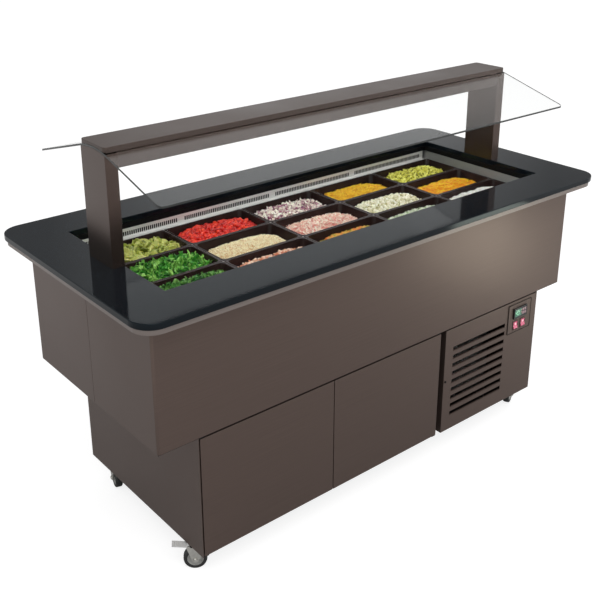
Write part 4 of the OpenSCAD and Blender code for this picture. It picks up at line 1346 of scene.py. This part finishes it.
class SALADBAR_OT_controls(bpy.types.Operator):
    """Make the control plate, the thermostat's face and the lit rockers"""

    bl_idname = "salad_bar.controls"
    bl_label = "Controls"

    def execute(self, context):
        dress("control_plate", "bronze", 0.0004)
        dress("thermostat", "gloss", 0.0006)
        self.plate_edge_shade()
        self.face()
        for name in ("power_rocker", "cooling_rocker"):
            self.rocker(name)
        return {"FINISHED"}

    def plate_edge_shade(self):
        """Black ring round the edge of the control plate: painted shade for the dark line at its
        edge.
        """
        low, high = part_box("control_plate")
        middle = (low + high) / 2
        turn = Matrix.Translation((middle.x, 0, middle.z)) @ Matrix.Rotation(math.pi / 2, 4, "X")
        wide, tall, lap = high.x - low.x, high.z - low.z, 0.0028
        back, front = -low.y - 0.0015, -low.y - 0.0005
        bm = bmesh.new()
        rings = [
            loop(wide + lap, tall + lap, 0.002, back),
            loop(wide + lap, tall + lap, 0.002, front - 0.0004),
            loop(wide + lap - 0.0008, tall + lap - 0.0008, 0.0018, front),
            loop(wide, tall, 0.001, front),
            loop(wide, tall, 0.001, back),
        ]
        hoop(bm, rings, turn)
        put("control_seal", bm, "breaker", 40.0, "cabinet")

    def face(self):
        """Screen, lit digits, signal and touch keys in the thermostat's bezel."""
        low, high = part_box("thermostat")
        middle = (low + high) / 2
        wide, tall = high.x - low.x, high.z - low.z
        front = low.y + 0.0016
        bm = bmesh.new()
        rounded_box(
            bm,
            (low.x + 0.006, front - 0.0012, middle.z - tall * 0.32),
            (low.x + wide * 0.58, front + 0.0006, middle.z + tall * 0.34),
            0.0005,
        )
        put("thermostat_screen", bm, "screen", 40.0, "cabinet")
        bm = bmesh.new()
        for index in range(4):
            x = low.x + wide * (0.70 + 0.17 * (index % 2))
            z = middle.z + tall * (0.17 - 0.33 * (index // 2))
            first = (x - 0.0055, front - 0.0011, z - 0.0058)
            rounded_box(bm, first, (x + 0.0055, front + 0.0006, z + 0.0058), 0.0012)
        put("thermostat_keys", bm, "keys", 40.0, "cabinet")
        bm = bmesh.new()
        digit = 0.0085
        lit = {"4": "bcfg", "0": "abcdef"}
        for place, shape in enumerate("40"):
            x = low.x + 0.013 + place * digit * 1.45
            self.digit(bm, lit[shape], x, front - 0.0013, middle.z, digit)
        put("thermostat_digits", bm, "display", 40.0, "cabinet")
        bm = bmesh.new()
        x = low.x + wide * 0.54
        for step in range(2):
            z = middle.z + tall * (0.18 - 0.2 * step)
            first = (x - 0.0012, front - 0.0016, z - 0.0008)
            rounded_box(bm, first, (x + 0.0012, front, z + 0.0008), 0.0003)
        put("thermostat_signals", bm, "signal", 40.0, "cabinet")

    def digit(self, bm, bars, x, y, z, size):
        """Seven-bar digit from small rounded bars."""
        half, bar = size * 0.5, size * 0.09
        places = {
            "a": (0, size, True),
            "b": (half, half, False),
            "c": (half, -half, False),
            "d": (0, -size, True),
            "e": (-half, -half, False),
            "f": (-half, half, False),
            "g": (0, 0, True),
        }
        for name in bars:
            dx, dz, level = places[name]
            sx, sz = (half * 0.8, bar) if level else (bar, half * 0.8)
            first = (x + dx - sx, y, z + dz - sz)
            rounded_box(bm, first, (x + dx + sx, y + 0.0006, z + dz + sz), 0.0002, 1)

    def rocker(self, name):
        """A rocker's finish and the lit window in its face."""
        dress(name, "rocker", 0.0006)
        low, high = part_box(name)
        middle = (low + high) / 2
        bm = bmesh.new()
        depth = low.y + 0.0004
        rounded_box(
            bm,
            (middle.x - 0.0045, depth + 0.0022, middle.z + 0.0015),
            (middle.x + 0.0045, depth + 0.0042, middle.z + 0.0095),
            0.0006,
        )
        put(name + "_window", bm, "lamp", 40.0, name)


class SALADBAR_OT_machine(bpy.types.Operator):
    """Finish the cooling machine behind the louvres"""

    bl_idname = "salad_bar.machine"
    bl_label = "Cooling machine"

    def execute(self, context):
        dress("compressor", "gloss", 0.001)
        dress("condenser", "fins", 0.0)
        dress("fan_motors", "dark_metal", 0.0)
        dress("condenser_fan", "pale", 0.0)
        return {"FINISHED"}


class SALADBAR_OT_castors(bpy.types.Operator):
    """Make the castors' wheels and finish their forks and brakes"""

    bl_idname = "salad_bar.castors"
    bl_label = "Castors"

    def execute(self, context):
        for castor in CASTORS:
            dress(castor + "_fork", "zinc", 0.0006)
            self.wheel(castor)
            self.fittings(castor)
        for castor in BRAKED:
            dress(castor + "_brake", "pedal", 0.0012)
            self.tread(castor)
        return {"FINISHED"}

    def fittings(self, castor):
        """Nuts on the axle's ends and the ring that covers the swivel bearing."""
        roll, swivel = JOINTS[castor + "_roll"], JOINTS[castor + "_swivel"]
        bm = bmesh.new()
        for side in (-1, 1):
            turn = axis_turn(roll["pos_m"], [side * part for part in roll["axis"]])
            nut = [(0.0068, 0.0181), (0.0072, 0.0185), (0.0072, 0.0212), (0.0066, 0.0218)]
            lathe(bm, nut, turn, 6)
            axle_end = [(0.0040, 0.0210), (0.0040, 0.0228), (0.0034, 0.0232)]
            lathe(bm, axle_end, turn, 24)
        x, y = swivel["pos_m"][0], swivel["pos_m"][1]
        turn = Matrix.Translation((x, y, 0.0))
        ring = [(0.0215, 0.0850), (0.0232, 0.0852), (0.0238, 0.0862)]
        ring += [(0.0238, 0.0896), (0.0232, 0.0904), (0.0215, 0.0906)]
        ring_of(bm, ring, turn)
        put(castor + "_fittings", bm, "zinc", 30.0, castor + "_fork")

    def tread(self, castor):
        """Rubber ridges across the brake's pedal."""
        pedal = JOINTS[castor + "_brake_pedal"]
        yaw = math.atan2(-pedal["axis"][0], pedal["axis"][1])
        slope = math.radians(-8)
        ridges, start, pitch = 5, 0.020, 0.006
        wide, half_length, foot, crest = 0.0022, 0.0115, 0.0010, 0.0026
        turn = (
            Matrix.Translation(Vector(pedal["pos_m"]))
            @ Matrix.Rotation(yaw, 4, "Z")
            @ Matrix.Rotation(slope, 4, "Y")
        )
        bm = bmesh.new()
        for ridge in range(ridges):
            x = start + pitch * ridge
            rounded_box(bm, (x, -half_length, foot), (x + wide, half_length, crest), 0.0005)
        bmesh.ops.transform(bm, matrix=turn, verts=bm.verts)
        put(castor + "_tread", bm, "pedal", 40.0, castor + "_brake")

    def wheel(self, castor):
        """Tyre with rounded shoulders, and a dished hub round its bore."""
        roll = JOINTS[castor + "_roll"]
        turn = axis_turn(roll["pos_m"], roll["axis"])
        low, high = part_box(castor + "_wheel")
        radius = (high.z - low.z) / 2
        half = 0.0125
        body = castor + "_wheel"
        bm = bmesh.new()
        tread = [
            (radius - 0.0125, -half + 0.0025),
            (radius - 0.0085, -half + 0.0002),
            (radius - 0.0040, -half),
            (radius - 0.0012, -half + 0.0016),
            (radius - 0.0002, -half + 0.0045),
            (radius, -half + 0.0085),
        ]
        tyre = tread + [(r, -h) for r, h in reversed(tread)]
        ring_of(bm, tyre, turn, 64)
        put(castor + "_tyre", bm, "tyre", 50.0, body, [body])
        bm = bmesh.new()
        bore = 0.0041
        rim = radius - 0.0120
        face = [
            (bore, 0.0140),
            (0.0095, 0.0140),
            (0.0105, 0.0130),
            (0.0120, 0.0085),
            (0.0185, 0.0068),
            (rim - 0.0035, 0.0080),
            (rim - 0.0015, 0.0108),
            (rim, 0.0112),
            (rim + 0.0008, 0.0096),
        ]
        ring_of(bm, face + [(r, -h) for r, h in reversed(face)], turn, 64)
        put(castor + "_hub", bm, "pale", 35.0, body)


class SALADBAR_OT_stage(bpy.types.Operator):
    """Set up the studio: floor, lights and camera"""

    bl_idname = "salad_bar.stage"
    bl_label = "Studio"

    def execute(self, context):
        values = settings("stage")
        scene = context.scene
        scene.view_settings.view_transform = "Standard"
        self.camera(scene, values)
        self.world(scene, values)
        self.floor(values)
        self.lamp("key_lamp", (-1.6, -2.6, 3.6), (0.0, 0.0, 0.7), 2.6, values.key)
        self.lamp("fill_lamp", (3.4, -2.2, 2.0), (0.2, -0.2, 0.6), 2.2, values.fill)
        place, target = (1.6, -1.4, 0.26), (0.45, -0.37, 0.75)
        self.lamp("band_lamp", place, target, 0.4, values.band, (0.94, 1.0, 0.86))
        return {"FINISHED"}

    def camera(self, scene, values):
        data = bpy.data.cameras.new("camera")
        data.lens = values.lens
        data.sensor_width = 36
        data.shift_y = values.drop
        data.clip_end = 60
        made = link(bpy.data.objects.new("camera", data))
        made.location = values.place
        made.rotation_euler = (math.radians(values.tilt), 0, math.radians(values.turn))
        scene.camera = made

    def seen(self, tree):
        """1 for a ray from the camera, straight or through glass."""
        path = add_node(tree, "ShaderNodeLightPath").outputs
        return maths(tree, "MAXIMUM", path["Is Camera Ray"], path["Is Transmission Ray"])

    def world(self, scene, values):
        world = bpy.data.worlds.new("studio")
        world.use_nodes = True
        tree = world.node_tree
        tree.nodes.clear()
        way = add_node(tree, "ShaderNodeTexCoord").outputs["Generated"]
        height = add_node(tree, "ShaderNodeSeparateXYZ", {0: way}).outputs["Z"]
        strength = span(tree, height, values.sky * 0.5, values.sky * 1.35)
        white = {"Color": (1, 1, 1, 1)}
        light = add_node(tree, "ShaderNodeBackground", white | {"Strength": strength}).outputs[0]
        wall = self.mirrored_wall(tree, way, height).outputs[0]
        shown = add_node(tree, "ShaderNodeBackground", white | {"Strength": 1.0}).outputs[0]
        glossy = add_node(tree, "ShaderNodeLightPath").outputs["Is Glossy Ray"]
        other = mixed(tree, glossy, light, wall)
        surface = mixed(tree, self.seen(tree), other, shown)
        add_node(tree, "ShaderNodeOutputWorld", {"Surface": surface})
        scene.world = world

    def mirrored_wall(self, tree, way, height):
        """White that polished faces mirror.

        Behind the counter it is greyer in a low band, and to both sides.
        """

        def toward(direction):
            inputs = {0: way, 1: direction}
            made = add_node(tree, "ShaderNodeVectorMath", inputs, operation="DOT_PRODUCT")
            return made.outputs["Value"]

        behind = span(tree, toward((0.639, 0.769, 0.0)), 0.0, 1.0, 0.4, 0.8)
        aside = maths(tree, "ABSOLUTE", toward((0.769, -0.639, 0.0)))
        falling = span(tree, height, 0.0, -0.25, 0.22, 0.28)
        rising = span(tree, height, 0.0, 0.25, 0.34, 0.41)
        low = maths(tree, "ADD", falling, rising)
        sides = span(tree, aside, 0.0, -0.55, 0.13, 0.26)
        factors = [maths(tree, "MULTIPLY_ADD", part, behind, 1.0) for part in (low, sides)]
        strength = maths(tree, "MULTIPLY", *factors)
        left = span(tree, toward((-1.0, 0.0, 0.0)), 0.0, 1.0, 0.2, 0.6)
        colour = ramp(tree, left, [(0.0, (1.0, 1.0, 1.0)), (1.0, (0.93, 1.0, 0.96))])
        return add_node(tree, "ShaderNodeBackground", {"Color": colour, "Strength": strength})

    def floor(self, values):
        bm = bmesh.new()
        bmesh.ops.create_grid(bm, x_segments=8, y_segments=8, size=14)
        made = bpy.data.materials.new("studio_floor")
        made.use_nodes = True
        tree = made.node_tree
        tree.nodes.clear()
        place = add_node(tree, "ShaderNodeTexCoord").outputs["Object"]
        length = add_node(tree, "ShaderNodeVectorMath", {0: place}, operation="LENGTH")
        white = add_node(tree, "ShaderNodeEmission", {"Color": (1, 1, 1, 1), "Strength": 1.0})
        plain = add_node(tree, "ShaderNodeBsdfDiffuse", {"Color": (*values.floor, 1)})
        pale = add_node(tree, "ShaderNodeBsdfDiffuse", {"Color": (0.35, 0.35, 0.35, 1)})
        glow = add_node(tree, "ShaderNodeEmission", {"Color": (1, 1, 1, 1), "Strength": 0.82})
        lit = add_node(tree, "ShaderNodeAddShader", {0: pale.outputs[0], 1: glow.outputs[0]})
        mirrored = add_node(tree, "ShaderNodeBsdfDiffuse", {"Color": (0.75, 0.75, 0.75, 1)})
        away = span(tree, length.outputs["Value"], 0.0, 1.0, 1.5, 3.6)
        far = mixed(tree, away, mirrored.outputs[0], white.outputs[0])
        glossy = add_node(tree, "ShaderNodeLightPath").outputs["Is Glossy Ray"]
        other = mixed(tree, glossy, plain.outputs[0], far)
        surface = mixed(tree, self.seen(tree), other, lit.outputs[0])
        add_node(tree, "ShaderNodeOutputMaterial", {"Surface": surface})
        piece = object_of("studio_floor", bm, [made], 30.0, False)

    def lamp(self, name, place, target, size, power, colour=(1.0, 1.0, 1.0)):
        data = bpy.data.lights.new(name, "AREA")
        data.shape = "SQUARE"
        data.size = size
        data.energy = power
        data.color = colour
        made = link(bpy.data.objects.new(name, data))
        made.location = place
        made.visible_camera = False
        made.rotation_euler = (Vector(target) - Vector(place)).to_track_quat("-Z", "Y").to_euler()


OPERATORS = (
    SALADBAR_OT_worktop,
    SALADBAR_OT_well,
    SALADBAR_OT_body,
    SALADBAR_OT_guard,
    SALADBAR_OT_base,
    SALADBAR_OT_controls,
    SALADBAR_OT_machine,
    SALADBAR_OT_castors,
    SALADBAR_OT_pans,
    SALADBAR_OT_food,
    SALADBAR_OT_stage,
)


class SALADBAR_PT_panel(bpy.types.Panel):
    """Steps and settings of the salad bar"""

    bl_label = "Salad Bar"
    bl_idname = "SALADBAR_PT_panel"
    bl_space_type = "VIEW_3D"
    bl_region_type = "UI"
    bl_category = "Salad Bar"

    def draw(self, context):
        for name in SETTINGS:
            box = self.layout.box()
            group = settings(name)
            for key in group.__annotations__:
                box.prop(group, key)
        for operator in OPERATORS:
            self.layout.operator(operator.bl_idname)


SETTINGS = {
    "finish": FinishSettings,
    "edges": EdgeSettings,
    "pans": PanSettings,
    "stage": StageSettings,
}


def register():
    for made in (*SETTINGS.values(), *OPERATORS, SALADBAR_PT_panel):
        bpy.utils.register_class(made)
    for name, group in SETTINGS.items():
        setattr(bpy.types.Scene, "salad_bar_" + name, bpy.props.PointerProperty(type=group))


def unregister():
    for name in SETTINGS:
        delattr(bpy.types.Scene, "salad_bar_" + name)
    for made in reversed((*SETTINGS.values(), *OPERATORS, SALADBAR_PT_panel)):
        bpy.utils.unregister_class(made)


def main():
    register()
    for operator in OPERATORS:
        group, name = operator.bl_idname.split(".")
        getattr(getattr(bpy.ops, group), name)()


if __name__ == "__main__":
    main()
